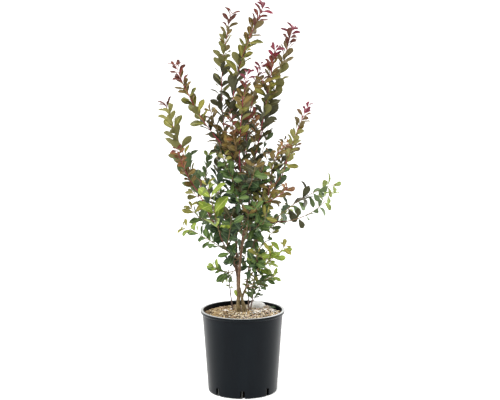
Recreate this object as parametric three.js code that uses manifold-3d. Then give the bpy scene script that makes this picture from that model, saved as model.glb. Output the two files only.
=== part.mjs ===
// Potted crape myrtle: a young shrub of several stems in a tall round nursery container.
// Millimetres, +Z up. The origin is the middle of the container's flat underside, and the front
// of the plant faces -Y.

import * as THREE from 'three';
import { mergeVertices } from 'three/addons/utils/BufferGeometryUtils.js';
import Module from 'manifold-3d';

const wasm = await Module();
wasm.setup();

// Container: a tapered round pot with a turned rim, and drain slots round its foot
const potHeight = 233;
const potRimRadius = 120;
const potRimDepth = 12;
const potNeckRadius = 113.5;
const potNeckHeight = 216;
const potBaseRadius = 98.5;
const potBaseRounding = 5;
const potWall = 2;
const potLip = 4.5;
const potFloor = 2.5;
const potSegments = 36;
const slotCount = 8;
const slotWidth = 13;
const slotHeight = 24;
const slotRounding = 4;
const slotInnerRadius = 86;

// Potting mix: a plug that fills the pot and is mounded round the stems
const mixEdgeHeight = 222;
const mixShoulderRadius = 92;
const mixShoulderHeight = 226;
const mixCrownRadius = 58;
const mixCrownHeight = 230;

// Gap left between neighbouring solids
const clearance = 0.3;

// Limbs
const trunkSides = 8;
const trunkRings = 8;
const trunkRingCrowding = 1.6;
const flareLength = 9;
const footSink = 4;
const boughSides = 5;
const boughRings = 4;

// Twigs
const twigSides = 3;
const twigRingSpacing = 90;
const twigFootRadius = 1.6;
const twigTipRadius = 0.8;
const sideTwigFootRadius = 1.1;
const sideTwigFrom = 0.2;
const sideTwigSpan = 0.4;
const sideTwigShortest = 0.8;
const sideTwigLonger = 0.3;
const sideTwigAngle = 0.8;
const sideTwigLift = 0.3;
const sideTwigLeaf = 0.85;
const sideTwigBare = 12;
const bareShare = 0.15;
const longestBare = 30;

// Leaves, in pairs that cross from one pair to the next, and smaller towards a shoot's tip
const leafMargin = 0.56;
const leafWidth = 0.66;
const leafThickness = 1.5;
const leafSizeSpread = 0.12;
const leafFold = 0.1;
const leafDroop = 0.1;
const leafStagger = 0.16;
const leafAngle = 0.7;
const leafAngleSpread = 0.25;
const leafRoll = 0.35;
const matureDistance = 180;
const pairSpacing = 0.74;
const firstPair = 4;
const crossTurn = 1.57;
const turnSpread = 0.35;

// The space of each mass, in cells that one mass at a time may hold
const cellSize = 4;
const sampleStep = 2.8;
const lowestLeaf = 240;
const potAndGap = 124;
const reachChecks = 12;
const cellRow = 1000;

// Edges shorter than this are closed up
const smallestEdge = 0.02;
const mergeDistance = 1e-4;

// Stems that rise from the mix, and the left one, which leaves the middle one low down.
// `on` and `at` name the limb that carries a limb and how far along it that is.
const trunks = [
  { name: 'trunk_middle', foot: [-12, -2], bend: [-5, 0, 395], tip: [20, 0, 536],
    radii: [4.3, 3], flare: 2.8 },
  { name: 'trunk_right', foot: [7, -4], bend: [17, 3, 345], tip: [46, 15, 480],
    radii: [4.2, 2.4], flare: 2.4 },
  { name: 'trunk_back', foot: [-13, 17], bend: [-17, 33, 385], tip: [-19, 58, 542],
    radii: [3.4, 2.4], flare: 2 },
  { name: 'trunk_left', on: 'trunk_middle', at: 0.24, bend: [-20, 6, 352], tip: [-34, -2, 406],
    radii: [3, 2.3], flare: 0.8 },
];

// Main boughs: each is bare or nearly so, and ends where its foliage begins
const boughs = [
  { name: 'bough_top_middle', on: 'trunk_middle', at: 1, bend: [-7, -25, 640], tip: [-25, -40, 752],
    radii: [2.6, 1.8] },
  { name: 'bough_top_right', on: 'trunk_middle', at: 0.93, bend: [29, 8, 625], tip: [42, 16, 705],
    radii: [2.4, 1.8] },
  { name: 'bough_top_left', on: 'trunk_back', at: 1, bend: [-37, 48, 640], tip: [-49, 39, 735],
    radii: [2.2, 1.7] },
  { name: 'bough_upper_left', on: 'bough_top_middle', at: 0.3, bend: [-38, -17, 676],
    tip: [-62, -22, 718], radii: [1.9, 1.6] },
  { name: 'bough_upper_right', on: 'trunk_middle', at: 0.86, bend: [70, 8, 568],
    tip: [112, 14, 618], radii: [2.3, 1.8] },
  { name: 'bough_far_left', on: 'trunk_left', at: 1, bend: [-72, 14, 468], tip: [-106, 28, 528],
    radii: [2.2, 1.8] },
  { name: 'bough_right', on: 'trunk_right', at: 1, bend: [85, 16, 484], tip: [122, 14, 487],
    radii: [2.2, 1.7] },
  { name: 'bough_front_left', on: 'trunk_left', at: 0.86, bend: [-50, -42, 428],
    tip: [-62, -76, 466], radii: [2, 1.6] },
  { name: 'bough_back', on: 'trunk_back', at: 0.86, bend: [-8, 88, 562], tip: [4, 112, 628],
    radii: [2, 1.6] },
  { name: 'bough_back_left', on: 'trunk_back', at: 0.6, bend: [-44, 66, 480], tip: [-68, 92, 545],
    radii: [2, 1.6] },
  { name: 'bough_back_right', on: 'trunk_right', at: 0.74, bend: [56, 44, 462],
    tip: [78, 78, 520], radii: [2, 1.6] },
];

// Masses of foliage: a leading shoot, the length of the leaves at its tip and of its largest
// leaves, the number of its side twigs, and how far from the shoot its leaves may reach.
// `bare` is the length of its foot that has no leaves, where it isn't worked out.
const masses = [
  // The shoots that make the outline
  { name: 'foliage_top_middle', on: 'bough_top_middle', at: 1, bend: [-14, -38, 905],
    tip: [58, -20, 1090], leaf: [22, 60], sides: 0, reach: 70, tint: 'bronze' },
  { name: 'foliage_top_left', on: 'bough_top_left', at: 1, bend: [-58, 42, 890],
    tip: [-32, 55, 1072], leaf: [20, 56], sides: 0, reach: 70, tint: 'bronze' },
  { name: 'foliage_top_right', on: 'bough_top_right', at: 1, bend: [84, 38, 850],
    tip: [139, 60, 1028], leaf: [20, 56], sides: 1, reach: 70, tint: 'bronze' },
  { name: 'foliage_inner_right', on: 'bough_top_right', at: 0.86, bend: [70, -8, 850],
    tip: [90, -30, 978], leaf: [20, 50], sides: 0, reach: 60, tint: 'red' },
  { name: 'foliage_inner_back', on: 'bough_back', at: 0.55, bend: [22, 84, 790],
    tip: [55, 112, 924], leaf: [20, 52], sides: 0, reach: 60, tint: 'red' },
  { name: 'foliage_inner_front', on: 'bough_top_middle', at: 0.42, bend: [-6, -66, 750],
    tip: [16, -96, 918], leaf: [20, 52], sides: 1, reach: 60, tint: 'red' },
  { name: 'foliage_upper_left', on: 'bough_upper_left', at: 1, bend: [-128, -32, 810],
    tip: [-184, -40, 934], leaf: [20, 54], sides: 1, reach: 60, tint: 'bronze' },
  { name: 'foliage_far_left', on: 'bough_far_left', at: 1, bend: [-164, 46, 665],
    tip: [-216, 60, 812], leaf: [22, 58], sides: 0, reach: 60, tint: 'olive' },
  { name: 'foliage_left_side', on: 'foliage_far_left', at: 0.15, bend: [-152, -18, 620],
    tip: [-182, -60, 704], leaf: [22, 46], sides: 0, reach: 50, tint: 'bronze' },
  { name: 'foliage_left_back', on: 'bough_far_left', at: 0.8, bend: [-98, 78, 570],
    tip: [-92, 120, 676], leaf: [30, 54], sides: 0, reach: 60, tint: 'green' },
  { name: 'foliage_front_left', on: 'bough_front_left', at: 1, bend: [-70, -104, 536],
    tip: [-84, -120, 610], leaf: [36, 68], sides: 1, reach: 75, tint: 'lime' },
  { name: 'foliage_lower_left', on: 'bough_front_left', at: 0.2, bend: [-110, -34, 452],
    tip: [-164, -50, 486], leaf: [24, 56], sides: 0, reach: 60, tint: 'olive' },
  { name: 'foliage_low_left', on: 'trunk_left', at: 0.45, bend: [-50, -10, 346],
    tip: [-84, -30, 368], leaf: [32, 54], sides: 1, reach: 60, tint: 'green' },
  { name: 'foliage_right', on: 'bough_right', at: 1, bend: [204, 10, 518], tip: [268, 10, 590],
    leaf: [26, 60], sides: 0, reach: 65, tint: 'green' },
  { name: 'foliage_right_upper', on: 'bough_right', at: 0.5, bend: [154, 52, 536],
    tip: [222, 64, 580], leaf: [28, 56], sides: 0, reach: 65, tint: 'green' },
  { name: 'foliage_middle_right', on: 'trunk_middle', at: 0.97, bend: [80, -54, 558],
    tip: [124, -80, 598], leaf: [32, 58], sides: 0, reach: 60, tint: 'olive' },
  { name: 'foliage_upper_right', on: 'bough_upper_right', at: 1, bend: [142, 22, 712],
    tip: [184, 30, 816], leaf: [20, 54], sides: 1, reach: 60, tint: 'olive' },
  { name: 'foliage_upper_right_inner', on: 'bough_upper_right', at: 0.7, bend: [88, -22, 664],
    tip: [126, -50, 716], leaf: [24, 54], sides: 1, reach: 60, tint: 'bronze' },
  { name: 'foliage_low_right', on: 'trunk_right', at: 0.42, bend: [76, -40, 384],
    tip: [120, -70, 434], leaf: [34, 56], sides: 1, reach: 60, tint: 'lime' },
  { name: 'foliage_foot_right', on: 'trunk_right', at: 0.3, bend: [58, -14, 322],
    tip: [92, -30, 342], leaf: [34, 54], sides: 1, reach: 60, tint: 'lime' },
  // The middle of the crown, from the top down
  { name: 'foliage_middle_top', on: 'bough_top_middle', at: 0.75, bend: [-38, -68, 745],
    tip: [-46, -88, 800], leaf: [30, 54], sides: 0, reach: 60, tint: 'olive' },
  { name: 'foliage_middle_high_right', on: 'bough_top_right', at: 0.6, bend: [62, 48, 700],
    tip: [72, 64, 765], leaf: [36, 56], sides: 0, reach: 60, tint: 'green' },
  { name: 'foliage_middle_high_left', on: 'bough_top_left', at: 0.35, bend: [-54, 22, 655],
    tip: [-80, 4, 722], leaf: [36, 56], sides: 1, reach: 60, tint: 'green' },
  { name: 'foliage_front_middle', on: 'bough_top_middle', at: 0.2, bend: [24, -80, 612],
    tip: [36, -128, 674], leaf: [32, 58], sides: 0, reach: 60, tint: 'bronze' },
  { name: 'foliage_middle', on: 'bough_top_middle', at: 0.12, bend: [-28, -52, 618],
    tip: [-50, -84, 690], leaf: [38, 58], sides: 1, reach: 60, tint: 'green' },
  { name: 'foliage_middle_right_front', on: 'bough_top_right', at: 0.35, bend: [54, -34, 642],
    tip: [74, -64, 696], leaf: [38, 58], sides: 1, reach: 60, tint: 'green' },
  { name: 'foliage_middle_left', on: 'trunk_back', at: 0.74, bend: [-58, 22, 524],
    tip: [-72, 6, 580], leaf: [40, 56], sides: 0, reach: 60, tint: 'green' },
  { name: 'foliage_front', on: 'trunk_middle', at: 0.7, bend: [12, -54, 478],
    tip: [16, -90, 536], leaf: [42, 60], sides: 1, reach: 60, tint: 'green' },
  { name: 'foliage_front_right', on: 'trunk_right', at: 0.92, bend: [56, -66, 492],
    tip: [66, -108, 530], leaf: [40, 58], sides: 0, reach: 60, tint: 'green' },
  { name: 'foliage_front_middle_left', on: 'bough_front_left', at: 0.4, bend: [-36, -86, 470],
    tip: [-30, -120, 530], leaf: [40, 58], sides: 0, reach: 60, tint: 'green' },
  { name: 'foliage_lower_right', on: 'trunk_right', at: 0.62, bend: [62, -14, 432],
    tip: [86, -30, 470], leaf: [40, 56], sides: 0, reach: 60, tint: 'green' },
  { name: 'foliage_lower_front', on: 'trunk_middle', at: 0.5, bend: [-28, -46, 400],
    tip: [-46, -74, 430], leaf: [42, 58], sides: 1, reach: 60, tint: 'green' },
  { name: 'foliage_low_front', on: 'trunk_right', at: 0.52, bend: [34, -44, 378],
    tip: [42, -74, 414], leaf: [42, 58], sides: 1, reach: 60, tint: 'green' },
  // The back of the crown
  { name: 'foliage_back', on: 'bough_back', at: 1, bend: [16, 146, 740], tip: [6, 170, 866],
    leaf: [24, 60], sides: 0, reach: 60, tint: 'olive' },
  { name: 'foliage_back_low', on: 'bough_back', at: 0.3, bend: [10, 150, 560],
    tip: [20, 200, 620], leaf: [34, 60], sides: 0, reach: 60, tint: 'green' },
  { name: 'foliage_back_left', on: 'bough_back_left', at: 1, bend: [-84, 134, 628],
    tip: [-86, 156, 712], leaf: [26, 58], sides: 1, reach: 60, tint: 'olive' },
  { name: 'foliage_back_left_low', on: 'bough_back_left', at: 0.4, bend: [-86, 124, 470],
    tip: [-122, 160, 520], leaf: [36, 60], sides: 1, reach: 60, tint: 'green' },
  { name: 'foliage_back_right', on: 'bough_back_right', at: 1, bend: [104, 122, 612],
    tip: [122, 140, 706], leaf: [26, 58], sides: 1, reach: 60, tint: 'olive' },
  { name: 'foliage_back_right_low', on: 'bough_back_right', at: 0.4, bend: [100, 100, 470],
    tip: [138, 140, 510], leaf: [36, 60], sides: 1, reach: 60, tint: 'green' },
  { name: 'foliage_low_back', on: 'trunk_back', at: 0.4, bend: [2, 76, 410], tip: [14, 112, 462],
    leaf: [38, 58], sides: 1, reach: 60, tint: 'green' },
  // Thin suckers from the mix
  { name: 'sucker_left', foot: [-28, 20], bend: [-36, 22, 290], tip: [-40, 18, 346],
    leaf: [16, 28], sides: 0, reach: 40, bare: 70, tint: 'lime' },
  { name: 'sucker_right', foot: [19, 24], bend: [16, 24, 285], tip: [25, 20, 336],
    leaf: [16, 28], sides: 0, reach: 40, bare: 50, tint: 'lime' },
];

const materials = {
  plastic: new THREE.MeshStandardMaterial({ color: 0x24282b, roughness: 0.45, metalness: 0 }),
  mix: new THREE.MeshStandardMaterial({ color: 0xb59c7e, roughness: 0.95, metalness: 0 }),
  bark: new THREE.MeshStandardMaterial({ color: 0x7a5a44, roughness: 0.85, metalness: 0 }),
  red: new THREE.MeshStandardMaterial({ color: 0x8a2b3a, roughness: 0.55, metalness: 0 }),
  bronze: new THREE.MeshStandardMaterial({ color: 0x7a5230, roughness: 0.55, metalness: 0 }),
  olive: new THREE.MeshStandardMaterial({ color: 0x7f8438, roughness: 0.55, metalness: 0 }),
  green: new THREE.MeshStandardMaterial({ color: 0x3c5428, roughness: 0.5, metalness: 0 }),
  lime: new THREE.MeshStandardMaterial({ color: 0x9bb53a, roughness: 0.55, metalness: 0 }),
};

// A closed geometry as a solid that can be joined and cut
function toSolid(geometry) {
  const bare = geometry.clone();
  bare.deleteAttribute('normal');
  bare.deleteAttribute('uv');
  const merged = mergeVertices(bare, mergeDistance);
  const corners = [];
  for (let i = 0; i < merged.index.count; i += 3) {
    const [a, b, c] = [0, 1, 2].map((k) => merged.index.getX(i + k));
    if (a !== b && b !== c && c !== a) corners.push(a, b, c);
  }
  return new wasm.Manifold(new wasm.Mesh({
    numProp: 3,
    vertProperties: merged.attributes.position.array,
    triVerts: new Uint32Array(corners),
  }));
}

function toGeometry(solid) {
  const { vertProperties, triVerts } = solid.getMesh();
  const geometry = new THREE.BufferGeometry();
  geometry.setAttribute('position', new THREE.BufferAttribute(vertProperties, 3));
  geometry.setIndex(new THREE.BufferAttribute(triVerts, 1));
  geometry.computeVertexNormals();
  return geometry;
}

// Radius of the pot's inner face at a height
function insideRadius(height) {
  const floorRadius = potBaseRadius - potWall;
  const neckRadius = potNeckRadius - potWall;
  if (height < potNeckHeight) {
    const share = (height - potFloor) / (potNeckHeight - potFloor);
    return floorRadius + share * (neckRadius - floorRadius);
  }
  const share = (height - potNeckHeight) / (potHeight - potNeckHeight);
  return neckRadius + share * (potRimRadius - potLip - neckRadius);
}

function potSolid() {
  const outline = [
    [0, 0],
    [potBaseRadius - potBaseRounding, 0],
    [potBaseRadius - potBaseRounding / 4, potBaseRounding / 4],
    [potBaseRadius, potBaseRounding],
    [potNeckRadius, potNeckHeight],
    [potRimRadius - 1, potHeight - potRimDepth],
    [potRimRadius, potHeight - potRimDepth / 2],
    [potRimRadius, potHeight - 1],
    [potRimRadius - 1, potHeight],
    [insideRadius(potHeight), potHeight],
    [insideRadius(potNeckHeight), potNeckHeight],
    [insideRadius(potFloor), potFloor],
    [0, potFloor],
  ].map(([radius, height]) => new THREE.Vector2(radius, height));
  const body = new THREE.LatheGeometry(outline, potSegments).rotateX(Math.PI / 2);
  return drainSlots().reduce((pot, slot) => pot.subtract(slot), toSolid(body));
}

// Openings through the foot of the wall and the edge of the floor, the first one in front
function drainSlots() {
  const half = slotWidth / 2;
  const outline = new THREE.Shape();
  outline.moveTo(-half, -1);
  outline.lineTo(half, -1);
  outline.lineTo(half, slotHeight - slotRounding);
  outline.lineTo(half - slotRounding, slotHeight);
  outline.lineTo(slotRounding - half, slotHeight);
  outline.lineTo(-half, slotHeight - slotRounding);
  outline.closePath();
  const depth = potNeckRadius - slotInnerRadius;
  const slots = [];
  for (let i = 0; i < slotCount; i += 1) {
    const slot = new THREE.ExtrudeGeometry(outline, { depth, steps: 1, bevelEnabled: false });
    slot.translate(0, 0, slotInnerRadius).rotateX(Math.PI / 2);
    slot.rotateZ((i * 2 * Math.PI) / slotCount);
    slots.push(toSolid(slot));
  }
  return slots;
}

function mixSolid() {
  const bottom = potFloor + clearance;
  const outline = [
    [0, bottom],
    [insideRadius(bottom) - clearance, bottom],
    [insideRadius(potNeckHeight) - clearance, potNeckHeight],
    [insideRadius(mixEdgeHeight) - clearance, mixEdgeHeight],
    [mixShoulderRadius, mixShoulderHeight],
    [mixCrownRadius, mixCrownHeight],
    [0, mixCrownHeight],
  ].map(([radius, height]) => new THREE.Vector2(radius, height));
  return toSolid(new THREE.LatheGeometry(outline, potSegments).rotateX(Math.PI / 2));
}

// A curve from foot to tip that passes through the bend half-way
function curveThrough(foot, bend, tip) {
  const control = bend.clone().multiplyScalar(2);
  control.addScaledVector(foot, -0.5).addScaledVector(tip, -0.5);
  return new THREE.QuadraticBezierCurve3(foot, control, tip);
}

// Point, direction and two cross directions at a share of a curve's length
function frameAt(curve, share) {
  const heading = curve.v2.clone().sub(curve.v0);
  const level = new THREE.Vector3(-heading.y, heading.x, 0).normalize();
  const along = curve.getTangentAt(share);
  const across = level.addScaledVector(along, -level.dot(along)).normalize();
  const facing = new THREE.Vector3().crossVectors(along, across);
  return { point: curve.getPointAt(share), along, across, facing };
}

// The number of straight lengths that a twig is made of
function twigRings(curve) {
  return Math.max(2, Math.round(curve.getLength() / twigRingSpacing));
}

// A twig's frame at a share of its length, on the straight between its two nearest rings
function twigFrame(curve, share) {
  const rings = twigRings(curve);
  const below = Math.min(Math.floor(share * rings), rings - 1);
  const point = curve.getPointAt(below / rings);
  point.lerp(curve.getPointAt((below + 1) / rings), share * rings - below);
  return { ...frameAt(curve, share), point };
}

// A tapering round limb along a curve. It is grown by `extra` all round and past its tip, to cut
// the clearance out of what it carries.
function limbSolid(curve, { radii, flare = 0, sides, rings, crowding = 1, extra = 0 }) {
  const length = curve.getLength();
  const geometry = new THREE.CylinderGeometry(1, 1, 1, sides, rings);
  const place = geometry.attributes.position;
  for (let i = 0; i < place.count; i += 1) {
    const share = Math.max(0, place.getY(i) + 0.5) ** crowding;
    const { point, along, across, facing } = frameAt(curve, Math.min(share, 1));
    const spread = flare * Math.exp((-share * length) / flareLength);
    const radius = radii[0] + share * (radii[1] - radii[0]) + spread + extra;
    point.addScaledVector(facing, place.getX(i) * radius);
    point.addScaledVector(across, place.getZ(i) * radius);
    if (share > 0.999) point.addScaledVector(along, extra);
    place.setXYZ(i, point.x, point.y, point.z);
  }
  return toSolid(geometry);
}

// A number from 0 to 1 that depends on its seeds only
function chance(...seeds) {
  const mixed = seeds.reduce((sum, seed, i) => sum + seed * (12.9898 + 65.2341 * i), 0);
  const wave = Math.sin(mixed) * 43758.5453;
  return wave - Math.floor(wave);
}

function spreadOf(amount, ...seeds) {
  return amount * (2 * chance(...seeds) - 1);
}

// Cells of the crown that are taken, each by one owner
const taken = new Map();

function cellKey(x, y, z) {
  return x + cellRow / 2 + (y + cellRow / 2 + z * cellRow) * cellRow;
}

function isFree(points, owner) {
  return points.every((point) => {
    const [x, y, z] = point.toArray().map((value) => Math.floor(value / cellSize));
    for (let i = -1; i <= 1; i += 1) {
      for (let j = -1; j <= 1; j += 1) {
        for (let k = -1; k <= 1; k += 1) {
          const holder = taken.get(cellKey(x + i, y + j, z + k));
          if (holder !== undefined && holder !== owner) return false;
        }
      }
    }
    return true;
  });
}

function take(points, owner) {
  points.forEach((point) => {
    const [x, y, z] = point.toArray().map((value) => Math.floor(value / cellSize));
    taken.set(cellKey(x, y, z), owner);
  });
}

function curveSamples(curve) {
  return curve.getSpacedPoints(Math.ceil(curve.getLength() / sampleStep));
}

// A leaf's place: its root, the way it points, and the way its upper face looks
function leafPlace({ point, along, across, facing }, turn, length, seeds) {
  const angle = leafAngle + spreadOf(leafAngleSpread, ...seeds, 1);
  const outward = across.clone().multiplyScalar(Math.cos(turn));
  outward.addScaledVector(facing, Math.sin(turn));
  const pointing = along.clone().multiplyScalar(Math.cos(angle));
  pointing.addScaledVector(outward, Math.sin(angle));
  const upper = along.clone().multiplyScalar(Math.sin(angle));
  upper.addScaledVector(outward, -Math.cos(angle));
  upper.applyAxisAngle(pointing, spreadOf(leafRoll, ...seeds, 2));
  return { root: point, pointing, upper, length };
}

function leafPoint({ root, pointing, upper }, lengthways, sideways, raised) {
  const side = new THREE.Vector3().crossVectors(upper, pointing);
  const point = root.clone().addScaledVector(pointing, lengthways);
  return point.addScaledVector(side, sideways).addScaledVector(upper, raised);
}

function leafSamples(leaf) {
  const points = [];
  const half = (leaf.length * leafWidth) / 2;
  const heart = leaf.length * leafMargin;
  const rows = Math.ceil(leaf.length / sampleStep);
  for (let row = 1; row <= rows; row += 1) {
    const reach = (leaf.length * row) / rows;
    const width = reach < heart ? reach / heart : (leaf.length - reach) / (leaf.length - heart);
    const drop = reach < heart ? 0 : (leafDroop * (reach - heart)) / (1 - leafMargin);
    const columns = Math.ceil((half * width) / sampleStep);
    for (let column = -columns; column <= columns; column += 1) {
      const sideways = columns ? (half * width * column) / columns : 0;
      points.push(leafPoint(leaf, reach, sideways, Math.abs(sideways) * leafFold - drop));
    }
  }
  return points;
}

// A leaf of eight faces: base and tip, two margins, and the middle of its upper and lower face
function leafSolid(leaf) {
  const geometry = new THREE.OctahedronGeometry(1, 0);
  const half = (leaf.length * leafWidth) / 2;
  const place = geometry.attributes.position;
  for (let i = 0; i < place.count; i += 1) {
    const [x, y, z] = [place.getX(i), place.getY(i), place.getZ(i)];
    let lengthways = leaf.length * leafMargin;
    if (x > 0.5) lengthways = leaf.length;
    if (x < -0.5) lengthways = 0;
    const drop = x > 0.5 ? leafDroop * leaf.length : 0;
    const raised = (z * leafThickness) / 2 + Math.abs(y) * half * leafFold - drop;
    const point = leafPoint(leaf, lengthways, y * half, raised);
    place.setXYZ(i, point.x, point.y, point.z);
  }
  return toSolid(geometry);
}

// Pairs of leaves from a shoot's tip down to `bare` of its foot
function shootLeaves(curve, { leaf, bare, seeds }) {
  const length = curve.getLength();
  const leaves = [];
  let fromTip = firstPair;
  let turn = crossTurn * 2 * chance(...seeds, 5);
  for (let pair = 0; fromTip < length - bare; pair += 1) {
    const share = Math.min(fromTip / matureDistance, 1);
    const size = leaf[0] + (leaf[1] - leaf[0]) * share;
    for (const side of [0, 1]) {
      const wander = spreadOf(turnSpread, ...seeds, pair, side);
      const frame = twigFrame(curve, 1 - (fromTip + side * size * leafStagger) / length);
      const sized = size * (1 + spreadOf(leafSizeSpread, ...seeds, pair, side, 7));
      leaves.push(leafPlace(frame, turn + side * Math.PI + wander, sized, [...seeds, pair, side]));
    }
    turn += crossTurn;
    fromTip += size * pairSpacing;
  }
  return leaves;
}

// Side twigs leave the lower part of the leading shoot and turn upward
function sideTwigs(curve, mass, seed) {
  const twigs = [];
  for (let i = 0; i < mass.sides; i += 1) {
    const share = sideTwigFrom + (sideTwigSpan * (i + chance(seed, i, 3))) / mass.sides;
    const { point, along, across, facing } = twigFrame(curve, share);
    const turn = 2 * Math.PI * (chance(seed, i, 4) + i / mass.sides);
    const length = mass.reach * (sideTwigShortest + sideTwigLonger * chance(seed, i, 6));
    const heading = along.clone().multiplyScalar(Math.cos(sideTwigAngle));
    heading.addScaledVector(across, Math.sin(sideTwigAngle) * Math.cos(turn));
    heading.addScaledVector(facing, Math.sin(sideTwigAngle) * Math.sin(turn));
    const bend = point.clone().addScaledVector(heading, length / 2);
    const tip = point.clone().addScaledVector(heading, length);
    tip.z += length * sideTwigLift;
    twigs.push(curveThrough(point, bend, tip));
  }
  return twigs;
}

const curves = new Map();
const limbs = new Map();

// Each limb's curve starts on the axis of the limb that carries it, or just below the mix
function placeCurve({ name, on, at, foot, bend, tip }) {
  const start = on
    ? curves.get(on).getPointAt(at)
    : new THREE.Vector3(foot[0], foot[1], mixCrownHeight - footSink);
  const curve = curveThrough(start, new THREE.Vector3(...bend), new THREE.Vector3(...tip));
  curves.set(name, curve);
  return curve;
}

// A flat cut just above the mix
function levelFoot(solid) {
  return solid.trimByPlane([0, 0, 1], mixCrownHeight + clearance);
}

function buildLimb(limb, shape) {
  const curve = placeCurve(limb);
  take(curveSamples(curve), limb.name);
  const settings = { ...shape, radii: limb.radii, flare: limb.flare };
  const solid = cutClear(limbSolid(curve, settings), [...limbs.values()]);
  limbs.set(limb.name, { curve, settings });
  return limb.on ? solid : levelFoot(solid);
}

// Cuts limbs out of a solid, with the clearance round them
function cutClear(solid, others) {
  const cuts = others.map(({ curve, settings }) => (
    limbSolid(curve, { ...settings, extra: clearance })
  ));
  return largestBody(wasm.Manifold.difference([solid, ...cuts]));
}

// The outer skin of the largest body: loose scraps and sealed hollows are dropped
function largestBody(solid) {
  const bodies = solid.simplify(smallestEdge).decompose();
  return bodies.reduce((best, body) => (body.volume() > best.volume() ? body : best));
}

// Whether a leaf's tip stays within its mass's reach and clear of the pot and the mix
function isInside(leaf, mass, curve) {
  const tip = leafPoint(leaf, leaf.length, 0, 0);
  const shoot = curve.getSpacedPoints(reachChecks);
  const nearest = Math.min(...shoot.map((point) => point.distanceTo(tip)));
  const clearOfPot = Math.hypot(tip.x, tip.y) > potAndGap || tip.z > lowestLeaf;
  return nearest < mass.reach && clearOfPot;
}

function massTwigs(mass, seed) {
  const curve = curves.get(mass.name);
  const length = curve.getLength();
  const bare = mass.bare ?? Math.min(longestBare, length * bareShare);
  const shoots = [{ curve, leaf: mass.leaf, bare, seeds: [seed, 0] }];
  const sideLeaf = [mass.leaf[0], mass.leaf[1] * sideTwigLeaf];
  sideTwigs(curve, mass, seed).forEach((side, i) => {
    if (isFree(curveSamples(side).slice(1), mass.name)) {
      shoots.push({ curve: side, leaf: sideLeaf, bare: sideTwigBare, seeds: [seed, i + 1] });
    }
  });
  return shoots;
}

function twigShape(curve, footRadius) {
  return { radii: [footRadius, twigTipRadius], sides: twigSides, rings: twigRings(curve) };
}

function buildMass(mass, seed) {
  const shoots = massTwigs(mass, seed);
  shoots.forEach(({ curve }) => take(curveSamples(curve), mass.name));
  const pieces = shoots.map(({ curve }, i) => (
    limbSolid(curve, twigShape(curve, i ? sideTwigFootRadius : twigFootRadius))
  ));
  for (const shoot of shoots) {
    for (const leaf of shootLeaves(shoot.curve, shoot)) {
      const samples = leafSamples(leaf);
      if (isInside(leaf, mass, curves.get(mass.name)) && isFree(samples, mass.name)) {
        take(samples, mass.name);
        pieces.push(leafSolid(leaf));
      }
    }
  }
  const joined = cutClear(wasm.Manifold.union(pieces), carriersOf(mass));
  return mass.on ? joined : levelFoot(joined);
}

// The limbs, and the leading twig of the mass that carries this one, where one does
function carriersOf(mass) {
  if (!mass.on || limbs.has(mass.on)) return [...limbs.values()];
  const curve = curves.get(mass.on);
  return [...limbs.values(), { curve, settings: twigShape(curve, twigFootRadius) }];
}

const plant = new THREE.Group();

function addMesh(name, solid, material) {
  const mesh = new THREE.Mesh(toGeometry(solid), material);
  mesh.name = name;
  plant.add(mesh);
}

addMesh('pot', potSolid(), materials.plastic);
addMesh('potting_mix', mixSolid(), materials.mix);
for (const trunk of trunks) {
  const shape = { sides: trunkSides, rings: trunkRings, crowding: trunkRingCrowding };
  addMesh(trunk.name, buildLimb(trunk, shape), materials.bark);
}
for (const bough of boughs) {
  addMesh(bough.name, buildLimb(bough, { sides: boughSides, rings: boughRings }), materials.bark);
}
masses.forEach((mass) => take(curveSamples(placeCurve(mass)), mass.name));
masses.forEach((mass, i) => {
  addMesh(mass.name, buildMass(mass, i + 1), materials[mass.tint]);
});

export default plant;
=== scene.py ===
import math

import bmesh
import bpy
import numpy as np
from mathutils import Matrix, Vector, noise


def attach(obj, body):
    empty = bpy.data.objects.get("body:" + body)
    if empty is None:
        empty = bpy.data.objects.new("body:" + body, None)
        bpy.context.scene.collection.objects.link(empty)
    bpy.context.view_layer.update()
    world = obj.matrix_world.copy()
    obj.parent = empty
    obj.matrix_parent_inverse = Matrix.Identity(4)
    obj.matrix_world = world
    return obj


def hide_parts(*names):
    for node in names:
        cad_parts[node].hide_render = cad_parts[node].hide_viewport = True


# A young crape myrtle in a tall round nursery pot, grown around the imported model.
# Lengths are in millimetres until a mesh is made, and metres from there on.

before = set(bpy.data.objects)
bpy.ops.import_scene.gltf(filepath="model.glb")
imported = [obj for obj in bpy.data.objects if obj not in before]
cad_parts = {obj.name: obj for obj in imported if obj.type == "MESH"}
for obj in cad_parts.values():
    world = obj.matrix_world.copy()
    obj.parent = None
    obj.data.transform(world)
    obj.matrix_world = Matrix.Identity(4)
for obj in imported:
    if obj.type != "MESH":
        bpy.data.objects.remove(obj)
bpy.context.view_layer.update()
metre = 0.001  # one millimetre, in metres


def startClean():
    if bpy.context.mode != "OBJECT":
        bpy.ops.object.mode_set(mode="OBJECT")
    bpy.ops.object.select_all(action="DESELECT")


def pick(piece):
    startClean()
    piece.select_set(True)
    bpy.context.view_layer.objects.active = piece


# Puts the active piece's place, turn and size into its mesh
def applyPlace():
    bpy.ops.object.transform_apply(location=True, rotation=True, scale=True)


# Opens the active piece with all of its mesh selected
def openMesh():
    bpy.ops.object.mode_set(mode="EDIT")
    bpy.ops.mesh.select_all(action="SELECT")


# Selects the edges or faces that pass the test, and nothing else
def choose(piece, kind, test):
    bpy.ops.mesh.select_mode(type=kind)
    bpy.ops.mesh.select_all(action="DESELECT")
    edit = bmesh.from_edit_mesh(piece.data)
    for part in edit.faces if kind == "FACE" else edit.edges:
        part.select_set(test(part))
    bmesh.update_edit_mesh(piece.data)


# Says what the finished piece rides on and stands for
def settle(piece, slotName, *nodes):
    pick(piece)
    applyPlace()
    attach(piece, "root")
    if nodes:
        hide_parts(*nodes)
    startClean()


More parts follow.
